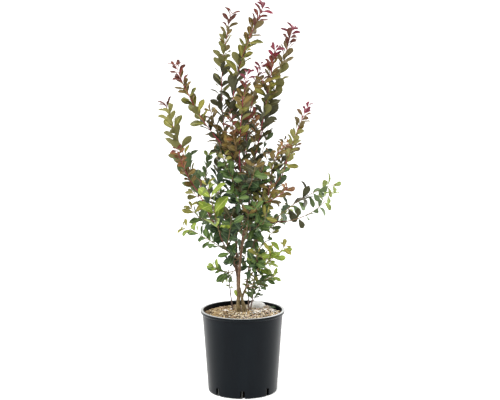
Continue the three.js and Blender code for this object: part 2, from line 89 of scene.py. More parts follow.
# Smooths the piece, apart from edges sharper than this many degrees
def smooth(piece, degrees):
    pick(piece)
    bpy.ops.object.shade_smooth_by_angle(angle=math.radians(degrees))


def paint(piece, material):
    piece.data.materials.clear()
    piece.data.materials.append(material)


def linear(hexCode):
    channels = [int(hexCode[i:i + 2], 16) / 255 for i in (1, 3, 5)]
    return [c / 12.92 if c <= 0.04045 else ((c + 0.055) / 1.055) ** 2.4 for c in channels] + [1]


# A node with its settings; a socket's value is a number, a colour code or (node, output)
def addNode(material, kind, sockets=None, stops=None, **settings):
    node = material.node_tree.nodes.new("ShaderNode" + kind)
    for key, value in settings.items():
        setattr(node, key, value)
    for position, code in stops or []:
        node.color_ramp.elements.new(position).color = linear(code)
    if stops:
        for spare in (0, -1):
            node.color_ramp.elements.remove(node.color_ramp.elements[spare])
    for name, value in (sockets or {}).items():
        if isinstance(value, tuple) and isinstance(value[0], bpy.types.Node):
            material.node_tree.links.new(value[0].outputs[value[1]], node.inputs[name])
        else:
            node.inputs[name].default_value = linear(value) if isinstance(value, str) else value
    return node


def newMaterial(name):
    material = bpy.data.materials.new(name)
    material.use_nodes = True
    material.node_tree.nodes.clear()
    return material


def shaded(material, **sockets):
    shader = addNode(material, "BsdfPrincipled", sockets)
    addNode(material, "OutputMaterial", {"Surface": (shader, "BSDF")})
    return material


# Noise scale for features of this many millimetres
def featureSize(size):
    return 1 / (size * metre)


# Camera, light and floor
studio = {
    "cameraPlace": (0.021, -3.891, 1.160), "cameraDown": 8.9, "lens": 100.8, "sensor": 36,
    "floorSize": 240, "floorTone": "#f8f8f7", "floorGlow": 0.42,
    # light from before the object and from behind it, and where one gives way to the other
    "skyTone": "#ffffff", "skyBefore": 0.31, "skyBehind": 0.74, "skyEdges": (-0.9, 0.5),
    "sunTurn": (38, 0, -24), "sunSpread": 24, "sunLight": 2.45,
    # place and power of each lamp, and the point that all of them face
    "sideLights": [((-2.3, 0.9, 1.0), 18), ((2.3, 0.9, 1.0), 26), ((0.3, 1.5, 1.7), 14)],
    "sideLightSize": (0.8, 2.2), "sideLightAim": (0, 0, 0.4),
}


def buildStudio():
    startClean()
    bpy.ops.object.camera_add(location=studio["cameraPlace"],
                              rotation=(math.radians(90 - studio["cameraDown"]), 0, 0))
    camera = bpy.context.object
    camera.data.lens = studio["lens"]
    camera.data.sensor_width = studio["sensor"]
    bpy.context.scene.camera = camera

    bpy.ops.mesh.primitive_plane_add(size=studio["floorSize"])
    floor = bpy.context.object
    floor.name = "floor"
    paper = newMaterial("matte_paper_sweep")  # pale and without any shine
    shaded(paper, **{"Base Color": studio["floorTone"], "Roughness": 1.0,
                     "Specular IOR Level": 0.0, "Emission Color": studio["floorTone"],
                     "Emission Strength": studio["floorGlow"]})
    paint(floor, paper)

    world = bpy.context.scene.world or bpy.data.worlds.new("studio")
    bpy.context.scene.world = world
    world.use_nodes = True
    world.node_tree.nodes.clear()
    # a white sweep behind and above, and a dimmer room on the photographer's side
    way = addNode(world, "TexCoord")
    parts = addNode(world, "SeparateXYZ", {"Vector": (way, "Generated")})
    room = addNode(world, "MapRange",
                   {"Value": (parts, "Y"), "From Min": studio["skyEdges"][0],
                    "From Max": studio["skyEdges"][1], "To Min": studio["skyBefore"],
                    "To Max": studio["skyBehind"]})
    seen = addNode(world, "LightPath")
    light = addNode(world, "Background",
                    {"Color": studio["skyTone"], "Strength": (room, 0)})
    shown = addNode(world, "Background",
                    {"Color": studio["skyTone"], "Strength": 1.0})
    both = addNode(world, "MixShader",
                   {0: (seen, "Is Camera Ray"), 1: (light, 0), 2: (shown, 0)})
    addNode(world, "OutputWorld", {"Surface": (both, 0)})

    bpy.ops.object.light_add(type="SUN", rotation=[math.radians(a) for a in studio["sunTurn"]])
    sun = bpy.context.object.data
    sun.energy = studio["sunLight"]
    sun.angle = math.radians(studio["sunSpread"])
    for place, power in studio["sideLights"]:
        aim = Vector(studio["sideLightAim"]) - Vector(place)
        bpy.ops.object.light_add(type="AREA", location=place,
                                 rotation=aim.to_track_quat("-Z", "Y").to_euler())
        lamp = bpy.context.object.data
        lamp.shape = "RECTANGLE"
        lamp.size, lamp.size_y = studio["sideLightSize"]
        lamp.energy = power
    bpy.context.scene.view_settings.view_transform = "Standard"


buildStudio()
print("studio: camera, floor and lights in place")


# The pot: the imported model's outline, with a rounded lip, drain slots and ribs
pot = {
    "segments": 144,
    # radius and height of each ring, from the inner floor up over the lip and down to the foot
    "rings": [(93.5, 2.5), (95.6, 3.2), (96.6, 5.5), (111.2, 213), (111.7, 222), (112.0, 233.6),
              (112.2, 234.8), (112.8, 235.4), (119.3, 235.4), (119.8, 235.0), (120.0, 234.0),
              (120.0, 230.4), (119.5, 228.4), (118.2, 226.8), (116.2, 225.8), (115.0, 224.9),
              (114.6, 222.6), (114.3, 218.6), (113.9, 213.4),
              (113.4, 210), (106.2, 110), (98.75, 8), (98.5, 5), (97.7, 2.2), (96.0, 0.6),
              (93.5, 0), (70, 0)],
    "slots": 8, "slotWidth": 13, "slotHeight": 24, "slotBelow": 4, "slotRound": 4.5,
    "slotInner": 86, "slotOuter": 130,
    "ribWidth": 2.2, "ribInner": 89.5, "ribOuter": 96, "ribHeight": 22, "ribLift": 0.4,
    "ribAside": -1.2, "ribFoot": 4.5, "ribFootHeight": 3.4, "ribRound": 0.5,
    # the ribs' pale grey on the next line is a painted highlight
    "colour": "#070a0e", "colourWorn": "#0b1014", "ribPaintedHighlight": "#50514e", "sheenTone": "#e4ecf6",
    # the lip is glossier, and painted pale grey as a painted highlight, from the first of these
    # heights to the second
    "lip": (234.9, 235.4), "lipPaintedHighlight": "#b9bab8",
}


# A turned body: its rings are extruded one from another, and both of its ends are closed
def buildTurned(name, segments, rings):
    startClean()
    radius, height = rings[0]
    bpy.ops.mesh.primitive_circle_add(vertices=segments, radius=radius * metre, fill_type="NGON",
                                      location=(0, 0, height * metre))
    turned = bpy.context.object
    turned.name = name
    applyPlace()
    openMesh()
    bpy.ops.mesh.select_mode(type="EDGE")
    bpy.ops.mesh.region_to_loop()
    for nextRadius, nextHeight in rings[1:]:
        step, factor = (nextHeight - height) * metre, nextRadius / radius
        bpy.ops.mesh.extrude_region_move(TRANSFORM_OT_translate={"value": (0, 0, step)})
        bpy.ops.transform.resize(value=(factor, factor, 1), center_override=(0, 0, 0))
        radius, height = nextRadius, nextHeight
    bpy.ops.mesh.edge_face_add()
    bpy.ops.mesh.select_all(action="SELECT")
    bpy.ops.mesh.normals_make_consistent(inside=False)
    bpy.ops.object.mode_set(mode="OBJECT")
    return turned


# A block by its sides and middle, left open to be shaped
def addBlock(name, sides, middle):
    startClean()
    bpy.ops.mesh.primitive_cube_add(size=metre, location=[place * metre for place in middle])
    block = bpy.context.object
    block.name = name
    block.scale = sides
    applyPlace()
    openMesh()
    return block


# Turned copies of a piece all round the pot's axis, joined to it
def repeatRound(piece, count):
    copies = []
    for i in range(1, count):
        pick(piece)
        bpy.ops.object.duplicate()
        copies.append(bpy.context.object)
        copies[-1].rotation_euler.z = 2 * math.pi * i / count
        applyPlace()
    pick(piece)
    for turned in copies:
        turned.select_set(True)
    bpy.ops.object.join()
    return piece


# Cutters for the drain slots, rounded at the top, from below the pot up through its wall
def buildSlotCutters():
    height, below = pot["slotHeight"], pot["slotBelow"]
    depth = pot["slotOuter"] - pot["slotInner"]
    cutter = addBlock("slot_cutters", (pot["slotWidth"], depth, height + below),
                      (0, -(pot["slotInner"] + depth / 2), (height - below) / 2))
    choose(cutter, "EDGE", lambda edge: all(v.co.z > height / 2 * metre for v in edge.verts)
           and abs(edge.verts[0].co.y - edge.verts[1].co.y) > metre)
    bpy.ops.mesh.bevel(offset=pot["slotRound"] * metre, segments=4)
    bpy.ops.object.mode_set(mode="OBJECT")
    return repeatRound(cutter, pot["slots"])


def cutWith(piece, cutter):
    pick(piece)
    cut = piece.modifiers.new("cut", "BOOLEAN")
    cut.operation = "DIFFERENCE"
    cut.solver = "EXACT"
    cut.object = cutter
    bpy.ops.object.modifier_apply(modifier="cut")
    bpy.data.objects.remove(cutter)


# A thin strut behind each slot, from the floor up the inside of the wall. Its pale grey is a
# painted highlight, for the light that the slot's edge catches.
def buildRibs():
    depth = pot["ribOuter"] - pot["ribInner"]
    rib = addBlock("pot_slot_ribs", (pot["ribWidth"], depth, pot["ribHeight"]),
                   (pot["ribAside"], -(pot["ribInner"] + depth / 2),
                    pot["ribHeight"] / 2 + pot["ribLift"]))
    footTop = pot["ribFootHeight"] * metre
    bpy.ops.mesh.bisect(plane_co=(0, 0, footTop), plane_no=(0, 0, 1))
    # its foot turns to one side along the floor
    choose(rib, "FACE", lambda face: face.calc_center_median().z < footTop
           and face.normal.x < -0.9)
    bpy.ops.mesh.extrude_region_move(
        TRANSFORM_OT_translate={"value": (-pot["ribFoot"] * metre, 0, 0)})
    bpy.ops.mesh.select_all(action="SELECT")
    bpy.ops.mesh.bevel(offset=pot["ribRound"] * metre, segments=2)
    bpy.ops.object.mode_set(mode="OBJECT")
    return repeatRound(rib, pot["slots"])


# Injection-moulded polypropylene: a soft satin sheen with faint flow marks, and a glossier lip
# whose top is painted pale grey as a painted highlight
def moulded(name, colour, colourWorn):
    material = newMaterial(name)
    place = addNode(material, "TexCoord")
    flow = addNode(material, "Mapping",
                   {"Vector": (place, "Object"), "Scale": (1, 1, 0.2)})
    marks = addNode(material, "TexNoise",
                    {"Vector": (flow, 0), "Scale": featureSize(30), "Detail": 4.0})
    grain = addNode(material, "TexNoise",
                    {"Vector": (place, "Object"), "Scale": featureSize(1.6), "Detail": 3.0})
    tone = addNode(material, "ValToRGB", {"Fac": (marks, "Fac")},
                   stops=[(0.3, colour), (0.7, colourWorn)])
    parts = addNode(material, "SeparateXYZ", {"Vector": (place, "Object")})
    glossAndHighlightBand = {"From Min": pot["lip"][0] * metre, "From Max": pot["lip"][1] * metre}
    lipHighlightMask = addNode(material, "MapRange",
                    {"Value": (parts, "Z"), **glossAndHighlightBand, "To Min": 0.0, "To Max": 1.0})
    # the lip's top is painted pale grey: a painted highlight for the reflection it catches
    withLipHighlight = addNode(material, "Mix",
                      {0: (lipHighlightMask, 0), 6: (tone, "Color"), 7: pot["lipPaintedHighlight"]},
                      data_type="RGBA")
    gloss = addNode(material, "MapRange",
                    {"Value": (parts, "Z"), **glossAndHighlightBand, "To Min": 0.32, "To Max": 0.2})
    mirror = addNode(material, "MapRange",
                     {"Value": (parts, "Z"), **glossAndHighlightBand, "To Min": 0.14, "To Max": 0.5})
    relief = addNode(material, "Bump",
                     {"Height": (grain, "Fac"), "Strength": 0.08, "Distance": 0.15 * metre})
    return shaded(material, **{"Base Color": (withLipHighlight, 2), "Roughness": (gloss, 0),
                               "Normal": (relief, 0), "IOR": 1.49,
                               "Specular IOR Level": (mirror, 0),
                               "Specular Tint": pot["sheenTone"]})


def buildPot():
    shell = buildTurned("pot_shell", pot["segments"], pot["rings"])
    cutWith(shell, buildSlotCutters())
    smooth(shell, 35)
    ribs = buildRibs()
    paint(shell, moulded("moulded_polypropylene", pot["colour"], pot["colourWorn"]))
    # the ribs are painted pale grey as a painted highlight
    paint(ribs, moulded("rib_polypropylene_painted_highlight", pot["ribPaintedHighlight"], pot["ribPaintedHighlight"]))
    settle(shell, "pot_plastic", "pot")
    settle(ribs, "pot_plastic")


buildPot()
print("pot: shell, drain slots and ribs")


# The potting mix: a bed of compost under loose chips of bark
mix = {
    "segments": 96,
    # radius and height of each ring, from the foot of the plug to the middle of its top
    "rings": [(84, 2.8), (84, 28), (97.6, 34), (111.0, 216), (111.6, 221), (108, 222.2),
              (102, 223.6), (96, 224.8), (90, 225.9), (83, 226.8), (76, 227.6), (68, 228.3),
              (60, 228.9), (51, 229.2), (42, 229.5), (33, 229.7), (24, 229.8), (15, 229.9),
              (7, 230)],
    "topFrom": 221, "unevenFrom": 221.5, "lumps": 12, "relief": 1.5,
    # seed and flatness of each shape of chip, how wide it is, and how far its corners stray
    "chipShapes": [(3, 0.45), (8, 0.3), (15, 0.6)], "chipWidth": 0.62, "chipStray": 0.16,
    "seed": 41, "chipCount": 4300, "chipReach": 110.5, "chipSizes": (2.2, 6),
    "bigShare": 0.07, "bigSizes": (9, 15), "stretch": (0.8, 1.5), "lift": (-1.2, 0.8),
    "edge": 0.4, "sink": 0.08, "tilt": 0.45, "looseSizes": (2, 4.5), "looseTilt": 0.5,
    # tones of milled bark, the share of the chips that has each, and how it rises with paleness
    "tones": {"tan": ("#bfa67c", "#947a55", 0.28, -1), "cream": ("#e3d6b8", "#c0ad89", 0.25, 0),
              "brown": ("#7f664a", "#4f3d2c", 0.2, -1), "pink": ("#d3b8a2", "#a68a76", 0.17, 1),
              "white": ("#fffdf8", "#f0ebe2", 0.1, 3)},
    "paleSide": 0.85,  # how much paler the mix gets towards the right
}
# A lump of perlite that floated to the top, near the back, and finer rubble heaped beside it up
# to the rim: middle, half-sizes, the loose chips on each, and how far out those lie
clump = {"middle": (41, 72, 228), "size": (25, 27, 13.5), "chips": 60, "depth": (0.8, 1.02),
         "whiteShare": 0.9, "cutAt": 224.5, "lumps": 7, "relief": 4}
rubble = {"middle": (68, 58, 225), "size": (20, 18, 8), "chips": 380, "depth": (0.3, 1),
          "tones": ("cream", "pink", "white")}


def mixHeight(radius):
    top = sorted(ring for ring in mix["rings"] if ring[1] >= mix["topFrom"])
    return float(np.interp(radius, [r for r, z in top], [z for r, z in top]))


# Pushes a surface in and out by lumps of this size, in all of the piece or in one group
def makeUneven(piece, size, relief, midLevel, group=""):
    lumps = bpy.data.textures.new(piece.name + "_lumps", "CLOUDS")
    lumps.noise_scale = size * metre
    uneven = piece.modifiers.new("uneven", "DISPLACE")
    uneven.texture = lumps
    uneven.texture_coords = "LOCAL"
    uneven.strength = relief * metre
    uneven.mid_level = midLevel
    uneven.vertex_group = group
    pick(piece)
    bpy.ops.object.modifier_apply(modifier="uneven")


# Finishes that show a grain: its size in millimetres and its detail, its scale upwards, which is
# under 1 where it is drawn out, the relief it gives and how deep that is, and the shine
grains = {
    # compost between the chips: crumbly and dull, dark partly by its own colour and partly as
    # painted shade in the drain slots and the gaps between chips
    "compost": {"size": 3, "detail": 6.0, "roughNoise": 0.5, "drawn": 1, "relief": 0.9,
                "depth": 1.5, "roughness": 0.95, "gloss": 0.2},
    # milled conifer bark: dull and fibrous, in darker and paler patches
    "chip": {"size": 5, "detail": 5.0, "roughNoise": 0.7, "drawn": 1, "relief": 0.6,
             "depth": 0.5, "roughness": 0.9, "gloss": 0.25},
    # young crape myrtle bark: thin papery strips that run with the stem
    "stem": {"size": 2.2, "detail": 6.0, "roughNoise": 0.65, "drawn": 0.16, "relief": 0.7,
             "depth": 0.5, "roughness": 0.78, "gloss": 0.3},
}
barkFade = (262, 330)  # heights between which a greener foot with darker streaks gives way to the upper tone


# A dull stuff whose tones and relief follow one noise, with other tones near the mix if given
def grainy(name, kind, stops, footStops=None):
    grain = grains[kind]
    material = newMaterial(name)
    place = addNode(material, "TexCoord")
    drawn = addNode(material, "Mapping",
                    {"Vector": (place, "Object"), "Scale": (1, 1, grain["drawn"])})
    spots = addNode(material, "TexNoise",
                    {"Vector": (drawn, 0), "Scale": featureSize(grain["size"]),
                     "Detail": grain["detail"], "Roughness": grain["roughNoise"]})
    tone = (addNode(material, "ValToRGB", {"Fac": (spots, "Fac")}, stops=stops), 0)
    if footStops:
        foot = addNode(material, "ValToRGB", {"Fac": (spots, "Fac")}, stops=footStops)
        parts = addNode(material, "SeparateXYZ", {"Vector": (place, "Object")})
        height = addNode(material, "MapRange",
                         {"Value": (parts, "Z"), "From Min": barkFade[0] * metre,
                          "From Max": barkFade[1] * metre})
        tone = (addNode(material, "Mix", {0: (height, 0), 6: (foot, 0), 7: tone},
                        data_type="RGBA"), 2)
    relief = addNode(material, "Bump", {"Height": (spots, "Fac"), "Strength": grain["relief"],
                                        "Distance": grain["depth"] * metre})
    return shaded(material, **{"Base Color": tone, "Roughness": grain["roughness"],
                               "Normal": (relief, 0), "Specular IOR Level": grain["gloss"]})


# Chips shaped one by one, to be copied all over the bed
def chipShapes():
    shapes = []
    for seed, flatness in mix["chipShapes"]:
        startClean()
        bpy.ops.mesh.primitive_ico_sphere_add(subdivisions=1, radius=0.5)
        chip = bpy.context.object
        chip.scale = (1, mix["chipWidth"], flatness)
        applyPlace()
        openMesh()
        bpy.ops.transform.vertex_random(offset=mix["chipStray"], seed=seed)
        bpy.ops.object.mode_set(mode="OBJECT")
        shapes.append((np.array([v.co for v in chip.data.vertices]),
                       [list(face.vertices) for face in chip.data.polygons]))
        bpy.data.objects.remove(chip)
    return shapes


# Directions of a chip: along it, across it and up, turned by chance
def turnedAxes(rng, tilt):
    turn, lean, way = rng.uniform(0, 2 * math.pi), rng.normal(0, tilt), rng.uniform(0, 2 * math.pi)
    up = np.array([math.sin(lean) * math.cos(way), math.sin(lean) * math.sin(way), math.cos(lean)])
    ahead = np.array([math.cos(turn), math.sin(turn), 0])
    ahead = ahead - up * ahead.dot(up)
    ahead /= np.linalg.norm(ahead)
    return np.stack([ahead, np.cross(up, ahead), up])


def meshFrom(name, points, faces, material):
    data = bpy.data.meshes.new(name)
    data.from_pydata((np.asarray(points) * metre).tolist(), [], faces)
    data.validate()
    piece = bpy.data.objects.new(name, data)
    bpy.context.scene.collection.objects.link(piece)
    data.materials.append(material)
    return piece


# Adds a bit of mesh to a pile of points and faces that becomes one piece
def addTo(pile, points, faces):
    start = len(pile[0])
    pile[0].extend(points)
    pile[1].extend([[start + k for k in face] for face in faces])


# Chips scattered over the bed and heaped on the clump and the rubble, dealt out by tone
def buildChips():
    rng = np.random.default_rng(mix["seed"])
    shapes = chipShapes()
    piles = {tone: ([], []) for tone in mix["tones"]}
    shares = np.array([share for _, _, share, _ in mix["tones"].values()])
    rises = np.array([rise for _, _, _, rise in mix["tones"].values()])

    def drop(tone, place, size, tilt):
        points, faces = shapes[rng.integers(len(shapes))]
        stretched = points * [size * rng.uniform(*mix["stretch"]), size, size]
        addTo(piles[tone], stretched @ turnedAxes(rng, tilt) + place, faces)

    def heap(shape, toneOf):
        for i in range(shape["chips"]):
            way = rng.normal(size=3)
            way /= np.linalg.norm(way)
            way[2] = abs(way[2])
            tone = toneOf(i)
            place = shape["middle"] + way * shape["size"] * rng.uniform(*shape["depth"])
            drop(tone, place, rng.uniform(*mix["looseSizes"]), mix["looseTilt"])

    for _ in range(mix["chipCount"]):
        radius = mix["chipReach"] * math.sqrt(rng.uniform())
        angle = rng.uniform(0, 2 * math.pi)
        size = rng.uniform(*mix["bigSizes" if rng.uniform() < mix["bigShare"] else "chipSizes"])
        radius = min(radius, mix["chipReach"] - size * mix["edge"])
        pale = 1 + mix["paleSide"] * math.cos(angle) * radius / mix["chipReach"]
        odds = shares * pale ** rises
        tone = list(mix["tones"])[rng.choice(len(shares), p=odds / odds.sum())]
        height = mixHeight(radius) + rng.uniform(*mix["lift"]) - size * mix["sink"]
        drop(tone, [radius * math.cos(angle), radius * math.sin(angle), height], size, mix["tilt"])
    heap(clump, lambda i: "white" if rng.uniform() < clump["whiteShare"] else "cream")
    heap(rubble, lambda i: rubble["tones"][i % len(rubble["tones"])])
    for tone, (pale, dark, _, _) in mix["tones"].items():
        bark = grainy("milled_bark_" + tone, "chip", [(0.36, dark), (0.56, pale)])
        settle(meshFrom("mix_chips_" + tone, *piles[tone], bark), "potting_mix")


def buildClump():
    startClean()
    bpy.ops.mesh.primitive_uv_sphere_add(segments=28, ring_count=14, radius=1)
    lump = bpy.context.object
    lump.name = "mix_clump"
    lump.scale = [size * metre for size in clump["size"]]
    lump.location = [place * metre for place in clump["middle"]]
    applyPlace()
    openMesh()
    bpy.ops.mesh.bisect(plane_co=(0, 0, clump["cutAt"] * metre), plane_no=(0, 0, 1),
                        clear_inner=True, use_fill=True)
    bpy.ops.object.mode_set(mode="OBJECT")
    makeUneven(lump, clump["lumps"], clump["relief"], 0.5)
    smooth(lump, 50)
    # perlite is white and crumbly, and as dull as the chips
    paint(lump, grainy("crumbled_perlite", "chip", [(0.36, "#f0ebe2"), (0.56, "#ffffff")]))
    settle(lump, "potting_mix")


def buildMixBed():
    bed = buildTurned("mix_bed", mix["segments"], mix["rings"])
    # the top is uneven, and stays below the chips
    top = bed.vertex_groups.new(name="top")
    raised = [v.index for v in bed.data.vertices if v.co.z > mix["unevenFrom"] * metre]
    top.add(raised, 1, "REPLACE")
    makeUneven(bed, mix["lumps"], mix["relief"], 1, "top")
    smooth(bed, 40)
    # the compost's near-black is partly painted shade, for the drain slots and the gaps between
    # chips
    paint(bed, grainy("dark_compost_and_painted_shade", "compost",
                      [(0.35, "#0d0a08"), (0.55, "#1e1711"), (0.72, "#3f3022")]))
    settle(bed, "potting_mix", "potting_mix")


buildMixBed()
buildClump()
buildChips()
print("mix: bed, clump and chips")


# How the plant grows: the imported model's own rule, written again and carried further
curveSteps = 200  # steps that a curve's length is measured in


# A number from 0 to 1 that depends on its seeds only
def chance(*seeds):
    mixed = sum(seed * (12.9898 + 65.2341 * i) for i, seed in enumerate(seeds))
    wave = math.sin(mixed) * 43758.5453
    return wave - math.floor(wave)


def spreadOf(amount, *seeds):
    return amount * (2 * chance(*seeds) - 1)


# A curve from foot to tip that passes through the bend half-way
def curveThrough(foot, bend, tip):
    foot, bend, tip = Vector(foot), Vector(bend), Vector(tip)
    curve = {"foot": foot, "control": bend * 2 - (foot + tip) / 2, "tip": tip}
    points = [pointOn(curve, i / curveSteps) for i in range(curveSteps + 1)]
    lengths = [0]
    for a, b in zip(points, points[1:]):
        lengths.append(lengths[-1] + (b - a).length)
    curve["lengths"] = lengths
    curve["length"] = lengths[-1]
    return curve


def pointOn(curve, t):
    return (curve["foot"] * (1 - t) ** 2 + curve["control"] * (2 * t * (1 - t))
            + curve["tip"] * t * t)


# The curve's own measure at a share of its length
def measureAt(curve, share):
    wanted = min(max(share, 0), 1) * curve["length"]
    return float(np.interp(wanted, curve["lengths"], np.linspace(0, 1, curveSteps + 1)))


# Point, direction and two cross directions at a share of a curve's length
def frameAt(curve, share):
    t = measureAt(curve, share)
    heading = curve["tip"] - curve["foot"]
    level = Vector((-heading.y, heading.x, 0)).normalized()
    along = ((curve["control"] - curve["foot"]) * (1 - t)
             + (curve["tip"] - curve["control"]) * t).normalized()
    across = (level - along * level.dot(along)).normalized()
    return {"point": pointOn(curve, t), "along": along, "across": across,
            "facing": along.cross(across)}


mixTop = 230  # height of the mix at its middle
footSink = 4  # how far below that a foot starts

# name: (limb that carries it, how far along) or its foot, then bend, tip, radii and flare, as
# how much wider the foot is and how quickly that goes
trunks = {
    "trunk_middle": ((-12, -2), (-5, 0, 395), (20, 0, 536), (5, 2.9), (1.9, 40)),
    "trunk_right": ((7, -4), (17, 3, 345), (46, 15, 480), (2.7, 2.2), (3.1, 38)),
    "trunk_back": ((-13, 17), (-17, 33, 385), (-19, 58, 542), (3.4, 2.4), (2, 9)),
    "trunk_left": (("trunk_middle", 0.24), (-20, 6, 352), (-34, -2, 406), (2.8, 2.3), (0.8, 9)),
}
boughs = {
    "bough_top_middle": (("trunk_middle", 1), (-7, -25, 640), (-25, -40, 752), (2.6, 1.8), (0, 9)),
    "bough_top_right": (("trunk_middle", 0.93), (29, 8, 625), (42, 16, 705), (2.4, 1.8), (0, 9)),
    "bough_top_left": (("trunk_back", 1), (-37, 48, 640), (-49, 39, 735), (2.2, 1.7), (0, 9)),
    "bough_upper_left": (("bough_top_middle", 0.3), (-38, -17, 676), (-62, -22, 718),
        (1.9, 1.6), (0, 9)),
    "bough_upper_right": (("trunk_middle", 0.86), (70, 8, 568), (112, 14, 618), (2.3, 1.8), (0, 9)),
    "bough_far_left": (("trunk_left", 1), (-72, 14, 468), (-106, 28, 528), (2.2, 1.8), (0, 9)),
    "bough_right": (("trunk_right", 1), (85, 16, 484), (122, 14, 487), (2.2, 1.7), (0, 9)),
    "bough_front_left": (("trunk_left", 0.86), (-50, -42, 428), (-62, -76, 466), (2, 1.6), (0, 9)),
    "bough_back": (("trunk_back", 0.86), (-8, 88, 562), (4, 112, 628), (2, 1.6), (0, 9)),
    "bough_back_left": (("trunk_back", 0.6), (-44, 66, 480), (-68, 92, 545), (2, 1.6), (0, 9)),
    "bough_back_right": (("trunk_right", 0.74), (56, 44, 462), (78, 78, 520), (2, 1.6), (0, 9)),
}

